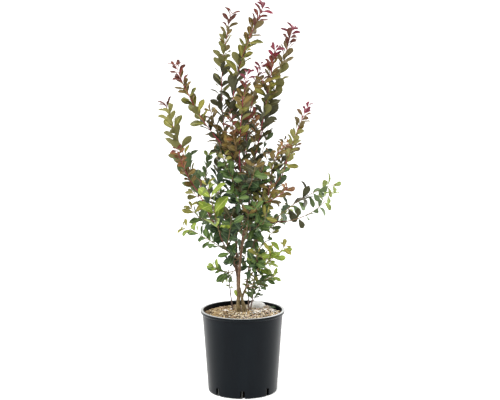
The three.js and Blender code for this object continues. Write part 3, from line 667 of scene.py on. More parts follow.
# Sprays of foliage: the limb that carries each and how far along, or None and its foot in the
# mix; the leading shoot's bend and tip; the length of the leaves at its tip and of the largest,
# the gap between pairs as a share of it, side twigs, fine twigs, reach and kind
sprays = {
    "foliage_top_middle": ("bough_top_middle", 1, (-14, -38, 905), (58, -20, 1090),
        (30, 46), 0.28, 0, 0, 70, "topBronze"),
    "foliage_top_left": ("bough_top_left", 1, (-58, 42, 890), (-32, 55, 1072),
        (27, 42), 0.34, 0, 0, 70, "topRed"),
    "foliage_top_right": ("bough_top_right", 1, (89, 38, 848), (140, 60, 1028),
        (34, 46), 0.3, 0, 0, 70, "topBronze"),
    "foliage_inner_right": ("bough_top_right", 0.86, (70, -8, 850), (90, -30, 978),
        (28, 46), 0.34, 0, 1, 60, "pinkTip"),
    "foliage_inner_back": ("bough_back", 0.55, (22, 84, 790), (55, 112, 924),
        (26, 46), 0.44, 0, 2, 60, "pinkTip"),
    "foliage_inner_front": ("bough_top_middle", 0.42, (-6, -66, 750), (16, -96, 918),
        (24, 44), 0.5, 1, 2, 60, "pinkTip"),
    "foliage_upper_left": ("bough_upper_left", 1, (-128, -32, 810), (-184, -40, 934),
        (26, 44), 0.34, 0, 0, 60, "topRed"),
    "foliage_far_left": ("bough_far_left", 1, (-164, 46, 665), (-216, 60, 812),
        (36, 52), 0.33, 0, 1, 60, "yellowTip"),
    "foliage_left_side": ("foliage_far_left", 0.15, (-152, -18, 620), (-182, -60, 704),
        (20, 40), 0.52, 0, 1, 45, "rust"),
    "foliage_left_back": ("bough_far_left", 0.8, (-106, 78, 578), (-97, 112, 670),
        (28, 38), 0.44, 0, 0, 45, "spring"),
    "foliage_front_left": ("bough_front_left", 1, (-78, -104, 538), (-96, -118, 612),
        (48, 66), 0.46, 0, 0, 75, "lime"),
    "foliage_lower_left": ("bough_front_left", 0.2, (-110, -34, 452), (-164, -50, 486),
        (28, 44), 0.44, 0, 0, 60, "limeTip"),
    "foliage_low_left": ("trunk_left", 0.45, (-50, -10, 346), (-84, -30, 368),
        (30, 42), 0.42, 0, 1, 60, "spring"),
    "foliage_right": ("bough_right", 1, (198, 10, 516), (250, 10, 572),
        (31, 43), 0.64, 0, 0, 65, "archTip"),
    "foliage_right_upper": ("bough_right", 0.5, (168, 48, 546), (266, 54, 588),
        (35, 52), 0.4, 0, 0, 65, "archTip"),
    "foliage_middle_right": ("trunk_middle", 0.97, (80, -54, 558), (124, -80, 598),
        (30, 46), 0.52, 0, 4, 60, "amber"),
    "foliage_upper_right": ("bough_upper_right", 1, (142, 22, 712), (184, 30, 816),
        (22, 40), 0.42, 0, 1, 60, "goldTip"),
    "foliage_upper_right_inner": ("bough_upper_right", 0.7, (88, -22, 664), (126, -50, 716),
        (22, 42), 0.52, 0, 0, 60, "amber"),
    "foliage_low_right": ("trunk_right", 0.42, (76, -40, 384), (120, -70, 434),
        (30, 44), 0.48, 1, 4, 60, "lime"),
    "foliage_foot_right": ("trunk_right", 0.3, (58, -14, 322), (92, -30, 342),
        (26, 36), 0.46, 0, 2, 60, "spring"),
    "foliage_middle_top": ("bough_top_middle", 0.75, (-18, -72, 708), (-33, -88, 786),
        (24, 38), 0.46, 0, 1, 60, "emberTip"),
    "foliage_middle_high_right": ("bough_top_right", 0.6, (62, 48, 700), (72, 64, 765),
        (26, 38), 0.75, 0, 0, 40, "dusk"),
    "foliage_middle_high_left": ("bough_top_left", 0.35, (-50, 22, 655), (-70, 0, 724),
        (32, 44), 0.44, 0, 0, 45, "dusk"),
    "foliage_front_middle": ("bough_top_middle", 0.2, (24, -92, 612), (36, -156, 674),
        (32, 46), 0.52, 0, 2, 60, "dusk"),
    "foliage_middle": ("bough_top_middle", 0.12, (-28, -52, 618), (-50, -84, 690),
        (34, 46), 0.52, 0, 2, 60, "green"),
    "foliage_middle_right_front": ("bough_top_right", 0.35, (54, -34, 642), (74, -64, 696),
        (22, 32), 0.7, 0, 0, 35, "dusk"),
    "foliage_middle_left": ("trunk_back", 0.74, (-58, 22, 524), (-72, 6, 580),
        (36, 48), 0.52, 0, 3, 60, "deep"),
    "foliage_front": ("trunk_middle", 0.7, (12, -54, 478), (16, -90, 536),
        (34, 46), 0.52, 1, 4, 60, "dusk"),
    "foliage_front_right": ("trunk_right", 0.92, (56, -66, 492), (66, -108, 530),
        (34, 46), 0.52, 0, 2, 60, "green"),
    "foliage_front_middle_left": ("bough_front_left", 0.4, (-36, -90, 470), (-30, -134, 530),
        (34, 48), 0.52, 0, 4, 60, "deep"),
    "foliage_lower_right": ("trunk_right", 0.62, (62, -14, 432), (86, -30, 470),
        (22, 32), 0.8, 0, 0, 45, "green"),
    "foliage_lower_front": ("trunk_middle", 0.5, (-28, -46, 400), (-46, -74, 430),
        (32, 44), 0.52, 0, 3, 60, "deep"),
    "foliage_low_front": ("trunk_right", 0.52, (34, -44, 378), (42, -74, 414),
        (32, 44), 0.52, 0, 0, 60, "green"),
    "foliage_back": ("bough_back", 1, (16, 146, 740), (6, 170, 866),
        (20, 50), 0.52, 0, 3, 60, "yellowTip"),
    "foliage_back_low": ("bough_back", 0.3, (10, 150, 560), (20, 200, 620),
        (28, 50), 0.52, 0, 4, 60, "green"),
    "foliage_back_left": ("bough_back_left", 1, (-72, 134, 628), (-62, 158, 708),
        (26, 48), 0.52, 0, 0, 60, "bronze"),
    "foliage_back_left_low": ("bough_back_left", 0.4, (-86, 124, 470), (-122, 160, 520),
        (30, 50), 0.52, 1, 2, 60, "green"),
    "foliage_back_right": ("bough_back_right", 1, (104, 122, 612), (122, 140, 706),
        (26, 48), 0.52, 0, 2, 60, "bronze"),
    "foliage_back_right_low": ("bough_back_right", 0.4, (100, 100, 470), (138, 140, 510),
        (28, 48), 0.6, 0, 2, 60, "limeTip"),
    "foliage_low_back": ("trunk_back", 0.4, (2, 76, 410), (14, 112, 462),
        (32, 46), 0.52, 1, 1, 60, "green"),
    "sucker_left": (None, (-28, 20), (-36, 22, 290), (-40, 18, 346),
        (14, 24), 0.52, 0, 0, 40, "lime"),
    "sucker_right": (None, (19, 24), (16, 24, 285), (25, 20, 336),
        (20, 32), 0.42, 0, 0, 40, "lime"),
}
# Twigs inside the crown, between those that stand out, in the same terms
innerTwigs = {
    "inner_stem": ("trunk_middle", 0.84, (2, -42, 532), (-16, -72, 596),
        (34, 46), 0.5, 0, 2, 60, "deep"),
    "inner_low": ("trunk_middle", 0.66, (22, -30, 468), (20, -66, 520),
        (34, 46), 0.5, 1, 2, 60, "deep"),
    "inner_middle": ("bough_top_middle", 0.05, (22, -34, 590), (12, -66, 644),
        (32, 44), 0.5, 1, 2, 55, "dusk"),
    "inner_right": ("bough_top_right", 0.08, (46, -26, 586), (52, -56, 640),
        (32, 44), 0.5, 1, 2, 55, "dusk"),
    "inner_foot": ("trunk_right", 0.95, (48, -44, 520), (56, -84, 580),
        (32, 46), 0.5, 1, 2, 60, "green"),
    "inner_back": ("bough_top_left", 0.1, (-26, 30, 590), (-30, 4, 650),
        (32, 44), 0.5, 0, 2, 55, "deep"),
    "inner_left": ("trunk_left", 0.98, (-56, -20, 470), (-74, -46, 526),
        (32, 46), 0.5, 1, 2, 60, "deep"),
    "inner_side": ("bough_far_left", 0.7, (-118, -8, 500), (-146, -30, 540),
        (30, 42), 0.5, 0, 0, 50, "green"),
    "inner_ember": ("bough_top_right", 0.4, (36, -26, 730), (26, -62, 800),
        (26, 38), 0.5, 0, 0, 50, "emberTip"),
    "inner_low_right": ("trunk_right", 0.55, (44, -22, 366), (52, -40, 400),
        (28, 38), 0.5, 1, 3, 45, "deep"),
    "inner_high_left": ("bough_top_left", 0.55, (-46, 24, 705), (-54, 6, 764),
        (36, 46), 0.46, 0, 1, 50, "bronze"),
    "inner_gap": ("trunk_back", 0.3, (-15, 26, 352), (-10, 20, 412),
        (28, 40), 0.5, 0, 2, 45, "deep"),
    "inner_foot_right": ("trunk_right", 0.3, (34, 0, 300), (48, -10, 318),
        (24, 34), 0.5, 0, 0, 40, "green"),
    "inner_sucker": (None, (21, 14), (30, 14, 282), (33, 8, 334),
        (24, 34), 0.42, 1, 0, 45, "green"),
    "inner_upper_left": ("bough_upper_left", 0.8, (-72, -18, 752), (-88, -30, 806),
        (28, 40), 0.5, 0, 0, 45, "bronze"),
    "inner_right_side": ("bough_upper_right", 0.85, (110, -12, 630), (124, -34, 662),
        (30, 44), 0.5, 0, 0, 50, "green"),
    "inner_top": ("bough_top_middle", 0.5, (-26, -36, 690), (-34, -60, 728),
        (36, 46), 0.46, 0, 2, 50, "bronze"),
}
# Millimetres without leaves at the foot of a spray, where that isn't a share of its length
bareFoot = {"sucker_left": 64, "sucker_right": 34, "foliage_front_left": 8, "inner_sucker": 30,
            "foliage_middle_high_right": 40}

curves = {}


# Each limb starts on the axis of the limb that carries it, or just below the mix
def placeCurve(name, carrier, at, bend, tip):
    if carrier:
        start = frameAt(curves[carrier], at)["point"]
    else:
        start = (at[0], at[1], mixTop - footSink)
    curves[name] = curveThrough(start, bend, tip)


for name, (foot, bend, tip, _, _) in {**trunks, **boughs}.items():
    carrier, at = foot if isinstance(foot[0], str) else (None, foot)
    placeCurve(name, carrier, at, bend, tip)
for name, (carrier, at, bend, tip, *_) in {**sprays, **innerTwigs}.items():
    placeCurve(name, carrier, at, bend, tip)


# Stems and boughs
limbShape = {
    "sides": 14, "ringSpacing": 2.6, "collar": 0.35, "collarLength": 7,
    # ridges and finer flakes of bark, as shares of the radius, and how long they are
    "relief": 0.15, "ridgeLength": 16, "fineRelief": 0.07, "flakeLength": 5, "ridgeWidth": 1.7,
    # how far a limb strays from its curve, over what length, and where that fades at each end
    "wander": 1.1, "wanderLength": 55, "wanderFoot": 40, "wanderTip": 20,
    # swellings where leaves once stood, each turned from the last
    "nodeSpacing": 34, "nodeSwell": 0.14, "nodeLength": 2.4, "nodeTurn": 1.57,
    "seed": 5,
}
noise.seed_set(limbShape["seed"])  # noise_vector differs from run to run without it
# Where a stem is bent: how high, over what length, and which way
kinks = {"trunk_right": (44, 22, Vector((-9, 2, 0)))}
# An old stem that leans on the main one, between the feet of the two
oldStem = {
    "foot": (5, -5, 226), "bend": (-1.5, -5, 264), "tip": (-8.5, -4, 304), "sides": 12, "rings": 12,
    "radii": (4.8, 2.4), "relief": 0.16, "ridgeLength": 4, "topShare": 0.55,
}


# A closed tube whose rings follow the frames, with its radius given at each angle
def tubeArrays(frames, radiusAt, sides):
    points = []
    for i, place in enumerate(frames):
        for j in range(sides):
            angle = 2 * math.pi * j / sides
            radius = radiusAt(i, angle)
            points.append(place["point"] + place["facing"] * (radius * math.sin(angle))
                          + place["across"] * (radius * math.cos(angle)))
    faces = []
    for i in range(len(frames) - 1):
        for j in range(sides):
            a, b = i * sides + j, i * sides + (j + 1) % sides
            faces.append([a, b, b + sides, a + sides])
    last = (len(frames) - 1) * sides
    faces.append([sides - 1 - j for j in range(sides)])
    faces.append([last + j for j in range(sides)])
    return points, faces


# Bark in ridges that run with the stem; the seed gives each limb its own part of the noise
def limbArrays(limb, radii, flare, seed):
    curve, shape = curves[limb], limbShape
    length = curve["length"]
    kinkHeight, kinkLength, kinkWay = kinks.get(limb, (0, 1, Vector()))
    rings = max(4, round(length / shape["ringSpacing"]))
    frames = []
    for i in range(rings + 1):
        place = frameAt(curve, i / rings)
        height = length * i / rings
        ease = min(1, height / shape["wanderFoot"])
        ease *= min(1, (length - height) / shape["wanderTip"])
        drift = noise.noise_vector(Vector((seed * 7.3, height / shape["wanderLength"], 1.7)))
        drift *= shape["wander"]
        drifted = place["across"] * drift.x + place["facing"] * drift.y
        kinked = kinkWay * math.exp(-((height - kinkHeight) / kinkLength) ** 2)
        place["point"] = place["point"] + drifted * ease + kinked
        frames.append(place)

    def radiusAt(i, angle):
        height = length * i / rings
        radius = radii[0] + (radii[1] - radii[0]) * i / rings
        radius += flare[0] * math.exp(-height / flare[1])
        if not flare[0]:
            radius *= 1 + shape["collar"] * math.exp(-height / shape["collarLength"])
        x, y = math.cos(angle) * shape["ridgeWidth"], math.sin(angle) * shape["ridgeWidth"]
        ridge = noise.noise(Vector((x + seed * 3.1, y, height / shape["ridgeLength"])))
        flake = noise.noise(Vector((x * 3, y * 3 + seed, height / shape["flakeLength"])))
        fromNode = height % shape["nodeSpacing"] - shape["nodeSpacing"] / 2
        side = math.cos(angle + height // shape["nodeSpacing"] * shape["nodeTurn"]) ** 2
        swell = shape["nodeSwell"] * math.exp(-(fromNode / shape["nodeLength"]) ** 2) * side
        return radius * (1 + shape["relief"] * ridge + shape["fineRelief"] * flake + swell)

    return tubeArrays(frames, radiusAt, shape["sides"])


def oldStemArrays():
    curve = curveThrough(oldStem["foot"], oldStem["bend"], oldStem["tip"])
    rings, width = oldStem["rings"], limbShape["ridgeWidth"]
    foot, top = oldStem["radii"]

    def radiusAt(i, angle):
        x, y = math.cos(angle) * width, math.sin(angle) * width
        worn = noise.noise(Vector((x, y, i / oldStem["ridgeLength"])))
        radius = (foot + (top - foot) * i / rings) * (1 + oldStem["relief"] * worn)
        return radius * (oldStem["topShare"] if i == rings else 1)

    frames = [frameAt(curve, i / rings) for i in range(rings + 1)]
    return tubeArrays(frames, radiusAt, oldStem["sides"])


def buildLimbs(name, limbs, material, extras=()):
    pile = ([], [])
    for seed, (limb, (_, _, _, radii, flare)) in enumerate(limbs.items(), 1):
        addTo(pile, *limbArrays(limb, radii, flare, seed))
    for points, faces in extras:
        addTo(pile, points, faces)
    piece = meshFrom(name, *pile, material)
    smooth(piece, 60)
    settle(piece, "bark", *limbs)


mainStem = {"trunk_middle": trunks["trunk_middle"]}
otherStems = {limb: shape for limb, shape in trunks.items() if limb not in mainStem}
tanBark = grainy("papery_tan_bark", "stem",
                 [(0.32, "#4f3a2e"), (0.46, "#80624e"), (0.6, "#a08069"), (0.75, "#b89c86")],
                 [(0.34, "#2e2617"), (0.47, "#716040"), (0.6, "#a08d67"), (0.75, "#c2b18f")])
buildLimbs("stem_main", mainStem, tanBark)
greyBark = grainy("weathered_bark", "stem",
                  [(0.32, "#33261e"), (0.46, "#5b4636"), (0.6, "#7d6650"), (0.75, "#9c8770")],
                  [(0.34, "#2b2316"), (0.47, "#6c5c3e"), (0.6, "#9b8964"), (0.75, "#bdac8a")])
buildLimbs("stems_other", otherStems, greyBark, [oldStemArrays()])
redBark = grainy("smooth_red_bark", "stem",
                 [(0.32, "#3f2420"), (0.5, "#703f36"), (0.68, "#94604e")])
buildLimbs("boughs", boughs, redBark)
print("limbs: stems and boughs with bark relief")


# Leaves and twigs
leafShape = {
    # share of the length, and half-width there as a share of the widest
    "rows": [(0.08, 0.22), (0.24, 0.56), (0.44, 0.88), (0.62, 1.0), (0.8, 0.82), (0.93, 0.4)],
    "columns": (-1, -0.5, 0, 0.5, 1), "thickness": 0.45, "wave": 0.03, "waves": 9, "phases": 6.28,
    "petiole": 2.0, "petioleRadius": 0.45, "petioleShare": 0.06, "petioleSides": 3,
    # from a leaf at the tip to a full-grown one, and by how much each differs
    "ripe": 60, "width": (0.4, 0.47), "angle": (0.8, 0.5), "curl": (0.7, 0.5), "fold": (0.4, 0.16),
    "angleSpread": 0.34, "curlSpread": 0.35, "foldSpread": 0.14, "sizeSpread": 0.2,
    "mature": 240, "ageSpread": 0.3, "firstPair": 2, "tipPair": 0.6, "stagger": 0.05,
    "crossTurn": 1.57, "turnSpread": 0.5, "roll": (0.5, 1.25), "faceOut": 0.8,
    # how the two leaves of a pair hang where a shoot arches, and how far they face front or back
    "droops": (1, -0.4), "droopFace": 1.4,
    # where the rib fades out, as shares of the width, how plainly it shows, and the side veins
    "rib": (0.02, 0.07), "ribShow": 0.75, "veinSlant": -0.7, "veins": 38,
}
twigShape = {
    "sides": 6, "ringSpacing": 7, "footRadius": 1.6, "tipRadius": 0.6, "suckerRadius": 2.2,
    "suckerTip": 1.4, "bareShare": 0.15, "longestBare": 26, "branchAngle": 0.8, "branchLift": 0.3,
    # millimetres from the tip that are pink, and that are pink or red
    "rosy": (320, 400), "plain": (0, 10),
    # side twigs and fine ones: where along the shoot they start and over what share of it, their
    # lengths as shares of the spray's reach, the turn from one to the next or 0 for evenly round,
    # their radius, their leaves and bare foot, and the numbers that seed them
    "side": {"from": 0.2, "span": 0.4, "shortest": 0.8, "longer": 0.3, "turn": 0, "radius": 1.1,
             "leastLeaf": 0, "leafShare": 0.85, "bare": 8, "first": 1, "draws": (3, 4, 6)},
    "fine": {"from": 0.04, "span": 0.6, "shortest": 0.45, "longer": 0.4, "turn": 2.4, "radius": 0.9,
             "leastLeaf": 28, "leafShare": 0.9, "bare": 4, "first": 20, "draws": (13, 14, 15)},
}
# Where no leaf may stand: before the foot of the main stem, in the pot, or in another leaf
keepOut = {
    "stemShare": 0.86, "stemHalf": 13, "rimRadius": 124, "rimHeight": 240, "leafShare": 0.9,
    "steps": 12, "cell": 3, "sharedCells": 5, "rootPoints": 8,
}

# Kinds of spray: the tint of most of its leaves, how much wider they stand off, how many
# millimetres older they are on side twigs, whether its shoots are rosy, and then the tints of
# its leaves up to each distance from the tip of their shoot
sprayKinds = {
    "topBronze": ("bronze", 0.12, 60, True, [
        (24, "crimson"), (62, "maroon"), (120, "bronze"), (195, "olive"), (999, "umber")]),
    "topRed": ("bronze", 0.12, 60, True, [
        (48, "maroon"), (95, "bronze"), (190, "olive"), (999, "umber")]),
    "pinkTip": ("crimson", 0.15, 60, True, [
        (34, "crimson"), (58, "maroon"), (110, "bronze"), (150, "olive"), (999, "umber")]),
    "yellowTip": ("olive", 0.05, 20, True, [
        (17, "maroon"), (75, "yellow"), (190, "olive"), (999, "green")]),
    "goldTip": ("yellow", 0, 40, True, [
        (22, "crimson"), (46, "rust"), (80, "bronze"), (170, "yellow"), (999, "olive")]),
    "rust": ("rust", 0.15, 25, True, [
        (14, "maroon"), (80, "rust"), (170, "bronze"), (999, "umber")]),
    "emberTip": ("rust", 0.15, 40, False, [
        (30, "maroon"), (64, "rust"), (115, "bronze"), (999, "umber")]),
    "amber": ("rust", 0.15, 20, True, [(22, "rust"), (75, "bronze"), (999, "olive")]),
    "bronze": ("bronze", 0, 25, False, [(60, "bronze"), (110, "umber"), (999, "deep")]),
    "dusk": ("umber", 0.2, 20, False, [
        (20, "bronze"), (48, "umber"), (75, "green"), (999, "deep")]),
    "green": ("green", 0.3, 40, False, [(24, "olive"), (90, "green"), (999, "deep")]),
    "deep": ("deep", 0.3, 30, False, [(14, "umber"), (34, "green"), (999, "deep")]),
    "spring": ("green", 0, 10, False, [(18, "lime"), (90, "green"), (999, "deep")]),
    "limeTip": ("green", 0.3, 60, False, [
        (12, "yellow"), (50, "lime"), (150, "green"), (999, "deep")]),
    "archTip": ("green", 0.35, 60, False, [
        (46, "lime"), (108, "green"), (150, "umber"), (999, "deep")]),
    "lime": ("lime", 0.4, 5, False, [(12, "yellow"), (150, "lime"), (999, "green")]),
}
# How strongly the leaves hang, on the shoots that arch
droops = {"foliage_right": 0.8, "foliage_right_upper": 1.3}
# One leaf at the foot of the stem and one that fell on the mix: root, the way it points, the way
# its upper face looks, length and tint
strays = [
    ((-17, -5, 274), (-0.25, -0.3, 1), (-0.3, -1, 0), 22, "lime"),
    ((75, 52, 230.5), (1, 0.1, -0.02), (0, -0.5, 1), 24, "deep"),
]
strayShape = {"curl": 0.4, "fold": 0.2, "width": 0.47}
# Tints of the leaves: colour, its darker blotches, rib, underside, which is greyer and darkened as
# painted shade, and slot
tints = {
    "crimson": ("#8a2f40", "#672332", "#b55067", "#823d4b", "foliage_red"),
    "maroon": ("#78392c", "#532922", "#985a48", "#6a4239", "foliage_red"),
    "rust": ("#92673b", "#6f4a2e", "#b18758", "#7f6147", "foliage_bronze"),
    "bronze": ("#806c37", "#5b4927", "#9d8955", "#746644", "foliage_bronze"),
    "olive": ("#8a8439", "#5f5f2a", "#a8a75f", "#7a7748", "foliage_olive"),
    "umber": ("#464325", "#32311d", "#6a6a44", "#4e4d36", "foliage_olive"),
    "yellow": ("#9b953d", "#7a7832", "#bdba69", "#938f56", "foliage_lime"),
    "green": ("#5d743c", "#435a2e", "#889f59", "#62734d", "foliage_green"),
    "deep": ("#3d512f", "#293a24", "#637d50", "#4d5e46", "foliage_green"),
    "lime": ("#8a9c39", "#708531", "#bcc86b", "#94a15d", "foliage_lime"),
}
# Tints of the twigs, dark and pale
twigTones = {"brown": ("#6a523c", "#a08562"), "red": ("#6b3432", "#95524a"),
             "grey": ("#5c4a42", "#85736a"), "pink": ("#86303f", "#b34f5d")}


# Points of one leaf: share along, share sideways, and whether it's on the lower skin
def leafTemplate():
    points, faces = [(0, 0, 0)], []
    grid = {}
    for row, (along, width) in enumerate(leafShape["rows"]):
        for column, side in enumerate(leafShape["columns"]):
            grid[0, row, column] = len(points)
            points.append((along, side * width, 0))
            grid[1, row, column] = grid[0, row, column]
    tip = len(points)
    points.append((1, 0, 0))
    last = len(leafShape["columns"]) - 1
    for row, (along, width) in enumerate(leafShape["rows"]):
        for column in range(1, last):
            grid[1, row, column] = len(points)
            points.append((along, leafShape["columns"][column] * width, 1))
    rows = len(leafShape["rows"])
    for skin in (0, 1):
        for column in range(last):
            fan = [[0, grid[skin, 0, column + 1], grid[skin, 0, column]]]
            for row in range(rows - 1):
                fan.append([grid[skin, row, column], grid[skin, row, column + 1],
                            grid[skin, row + 1, column + 1], grid[skin, row + 1, column]])
            fan.append([grid[skin, rows - 1, column], grid[skin, rows - 1, column + 1], tip])
            faces.extend(face[::-1] if skin else face for face in fan)
    return np.array(points, float), faces


leafPoints, leafFaces = leafTemplate()
underFace = [i >= len(leafFaces) // 2 for i in range(len(leafFaces))]


# A leaf's place: its root, the way it points, and the way its upper face looks
def leafPlace(place, turn, length, ripeness, wider, droop, seeds):
    def ripened(key):
        young, old = leafShape[key]
        return young + (old - young) * ripeness

    angle = ripened("angle") + wider + spreadOf(leafShape["angleSpread"], *seeds, 1)
    outward = place["across"] * math.cos(turn) + place["facing"] * math.sin(turn)
    pointing = place["along"] * math.cos(angle) + outward * math.sin(angle)
    upper = place["along"] * math.sin(angle) - outward * math.cos(angle)
    pointing = (pointing - Vector((0, 0, droop))).normalized()
    facing = math.copysign(leafShape["droopFace"], upper.y)
    upper = upper + Vector((0, facing, 0)) * abs(droop)
    upper = (upper - pointing * upper.dot(pointing)).normalized()
    # most leaves turn their faces to the outside of the crown
    low, high = leafShape["roll"]
    roll = (low + (high - low) * chance(*seeds, 2)) * (1 - abs(droop) / 2)
    aside = pointing.cross(upper)
    outside = aside.y * place["point"].y > 0
    roll *= 1 if outside == (chance(*seeds, 12) < leafShape["faceOut"]) else -1
    upper = upper * math.cos(roll) + aside * math.sin(roll)
    return {"axis": place["point"], "root": place["point"] + pointing * leafShape["petiole"],
            "pointing": pointing, "upper": upper, "length": length, "width": ripened("width"),
            "curl": ripened("curl") + spreadOf(leafShape["curlSpread"], *seeds, 8),
            "fold": ripened("fold") + spreadOf(leafShape["foldSpread"], *seeds, 9),
            "phase": chance(*seeds, 10) * leafShape["phases"]}


# The points of many leaves at once, each curled along its length and folded at its rib
def leafMesh(leaves):
    along, side, under = leafPoints.T
    column = {key: np.array([leaf[key] for leaf in leaves])[:, None]
              for key in ("length", "width", "curl", "fold", "phase")}
    pointing = np.array([leaf["pointing"][:] for leaf in leaves])
    upper = np.array([leaf["upper"][:] for leaf in leaves])
    root = np.array([leaf["root"][:] for leaf in leaves])
    half = column["length"] * column["width"] / 2
    bend = column["curl"] * along
    reach = column["length"] * np.sin(bend) / column["curl"]
    drop = column["length"] * (1 - np.cos(bend)) / column["curl"]
    wave = np.sin(along * leafShape["waves"] + column["phase"]) * leafShape["wave"]
    wave = wave * column["length"] * abs(side)
    lift = abs(side) * half * np.sin(column["fold"]) + wave - under * leafShape["thickness"]
    forward = reach + lift * np.sin(bend)
    raised = lift * np.cos(bend) - drop
    sideways = side * half * np.cos(column["fold"])
    aside = np.cross(upper, pointing)
    return (root[:, None] + pointing[:, None] * forward[..., None]
            + upper[:, None] * raised[..., None] + aside[:, None] * sideways[..., None])


# Leaves in crossed pairs from the tip of a shoot down to its bare foot
def shootLeaves(shoot):
    curve, seeds = shoot["curve"], shoot["seeds"]
    length = curve["length"]
    leaves = []
    fromTip = leafShape["firstPair"]
    turn = leafShape["crossTurn"] * 2 * chance(*seeds, 5)
    pair = 0
    while fromTip < length - shoot["bare"]:
        share = min(fromTip / leafShape["mature"], 1)
        size = shoot["leaf"][0] + (shoot["leaf"][1] - shoot["leaf"][0]) * share
        size *= leafShape["tipPair"] if pair == 0 else 1
        ripeness = min(fromTip / leafShape["ripe"], 1)
        for side in (0, 1):
            wander = spreadOf(leafShape["turnSpread"], *seeds, pair, side)
            place = frameAt(curve, 1 - (fromTip + side * size * leafShape["stagger"]) / length)
            sized = size * (1 + spreadOf(leafShape["sizeSpread"], *seeds, pair, side, 7))
            leaf = leafPlace(place, turn + side * math.pi + wander, sized, ripeness, shoot["wider"],
                             shoot["droop"] * leafShape["droops"][side], [*seeds, pair, side])
            aged = spreadOf(leafShape["ageSpread"], *seeds, pair, side, 11)
            leaf["fromTip"] = (fromTip + shoot["age"]) * (1 + aged)
            leaves.append(leaf)
        turn += leafShape["crossTurn"]
        fromTip += size * shoot["spacing"]
        pair += 1
    return leaves


# A twig that leaves another at a share of its length and turns upward
def branchFrom(curve, share, turn, length):
    place = frameAt(curve, share)
    along, out = math.cos(twigShape["branchAngle"]), math.sin(twigShape["branchAngle"])
    heading = (place["along"] * along + place["across"] * (out * math.cos(turn))
               + place["facing"] * (out * math.sin(turn)))
    tip = place["point"] + heading * length
    tip.z += length * twigShape["branchLift"]
    return curveThrough(place["point"], place["point"] + heading * (length / 2), tip)


# The leading shoot of a spray, then its side twigs and its fine ones
def sprayShoots(name, spray, seed):
    carrier, _, _, _, leaf, spacing, sides, fines, reach, kind = spray
    curve = curves[name]
    _, wider, older, _, _ = sprayKinds[kind]
    bare = min(twigShape["longestBare"], curve["length"] * twigShape["bareShare"])
    shoots = [{"curve": curve, "leaf": leaf, "bare": bareFoot.get(name, bare), "seeds": [seed, 0],
               "age": 0, "radius": twigShape["footRadius" if carrier else "suckerRadius"]}]
    for twig, count in ((twigShape["side"], sides), (twigShape["fine"], fines)):
        for i in range(count):
            start, turned, longer = (chance(seed, i, draw) for draw in twig["draws"])
            share = twig["from"] + twig["span"] * (i + start) / count
            turn = 2 * math.pi * turned + i * (twig["turn"] or 2 * math.pi / count)
            length = reach * (twig["shortest"] + twig["longer"] * longer)
            shoots.append({"curve": branchFrom(curve, share, turn, length), "bare": twig["bare"],
                           "leaf": (max(leaf[0], twig["leastLeaf"]), leaf[1] * twig["leafShare"]),
                           "seeds": [seed, twig["first"] + i], "age": older,
                           "radius": twig["radius"]})
    for shoot in shoots:
        shoot.update(spacing=spacing, wider=wider, droop=droops.get(name, 0))
    return shoots


# The lower part of the main stem shows in front, with no leaves before it
def hidesStem(point):
    stem = curves["trunk_middle"]
    share = (point.z - mixTop) / (stem["tip"].z - mixTop)
    if share > keepOut["stemShare"] or point.y > 0:
        return False
    return abs(frameAt(stem, share)["point"].x - point.x) < keepOut["stemHalf"]


# Whether a leaf stays within its spray's reach, clear of the pot, and beside the stem's foot
def isInside(leaf, curve, reach):
    tip = leaf["root"] + leaf["pointing"] * leaf["length"] * keepOut["leafShare"]
    nearest = min((frameAt(curve, i / keepOut["steps"])["point"] - tip).length
                  for i in range(keepOut["steps"] + 1))
    clear = math.hypot(tip.x, tip.y) > keepOut["rimRadius"] or tip.z > keepOut["rimHeight"]
    hides = any(hidesStem(point) for point in (leaf["root"], leaf["root"].lerp(tip, 0.5), tip))
    return nearest < reach and clear and not hides


taken = {}  # cells of space that leaves already fill, and the leaf in each


# Leaves that would run through leaves already there are left out
def crosses(points, owner):
    cells = {tuple(cell) for cell in np.floor(points / keepOut["cell"]).astype(int)}
    if sum(1 for cell in cells if taken.get(cell, owner) != owner) > keepOut["sharedCells"]:
        return True
    for cell in cells:
        taken.setdefault(cell, owner)
    return False


def tintOf(kind, fromTip):
    return next(tint for limit, tint in sprayKinds[kind][4] if fromTip < limit)


def twigArrays(curve, footRadius, start, end, tipRadius=twigShape["tipRadius"]):
    rings = max(2, round(curve["length"] * (end - start) / twigShape["ringSpacing"]))
    frames = [frameAt(curve, start + (end - start) * i / rings) for i in range(rings + 1)]

    def radiusAt(i, _):
        share = start + (end - start) * i / rings
        return footRadius + (tipRadius - footRadius) * share

    return tubeArrays(frames, radiusAt, twigShape["sides"])


# The twig in lengths of one tone each, by the distance from its tip
def addTwig(piles, shoot, rosy, grey):
    curve, radius = shoot["curve"], shoot["radius"]
    if grey:
        addTo(piles["grey"], *twigArrays(curve, radius, 0, 1, twigShape["suckerTip"]))
        return
    pink, red = twigShape["rosy" if rosy else "plain"]
    ends = [0, max(0, 1 - red / curve["length"]), max(0, 1 - pink / curve["length"]), 1]
    for tone, start, end in zip(("brown", "red", "pink"), ends, ends[1:]):
        if end > start:
            addTo(piles[tone], *twigArrays(curve, radius, start, end))


# The short stalk from the twig's axis to a leaf
def addPetiole(pile, leaf):
    aside = leaf["upper"].cross(leaf["pointing"])
    end = leaf["root"] + leaf["pointing"] * (leaf["length"] * leafShape["petioleShare"])
    frames = [{"point": point, "facing": leaf["upper"], "across": aside}
              for point in (leaf["axis"], end)]
    addTo(pile, *tubeArrays(frames, lambda i, _: leafShape["petioleRadius"],
                            leafShape["petioleSides"]))
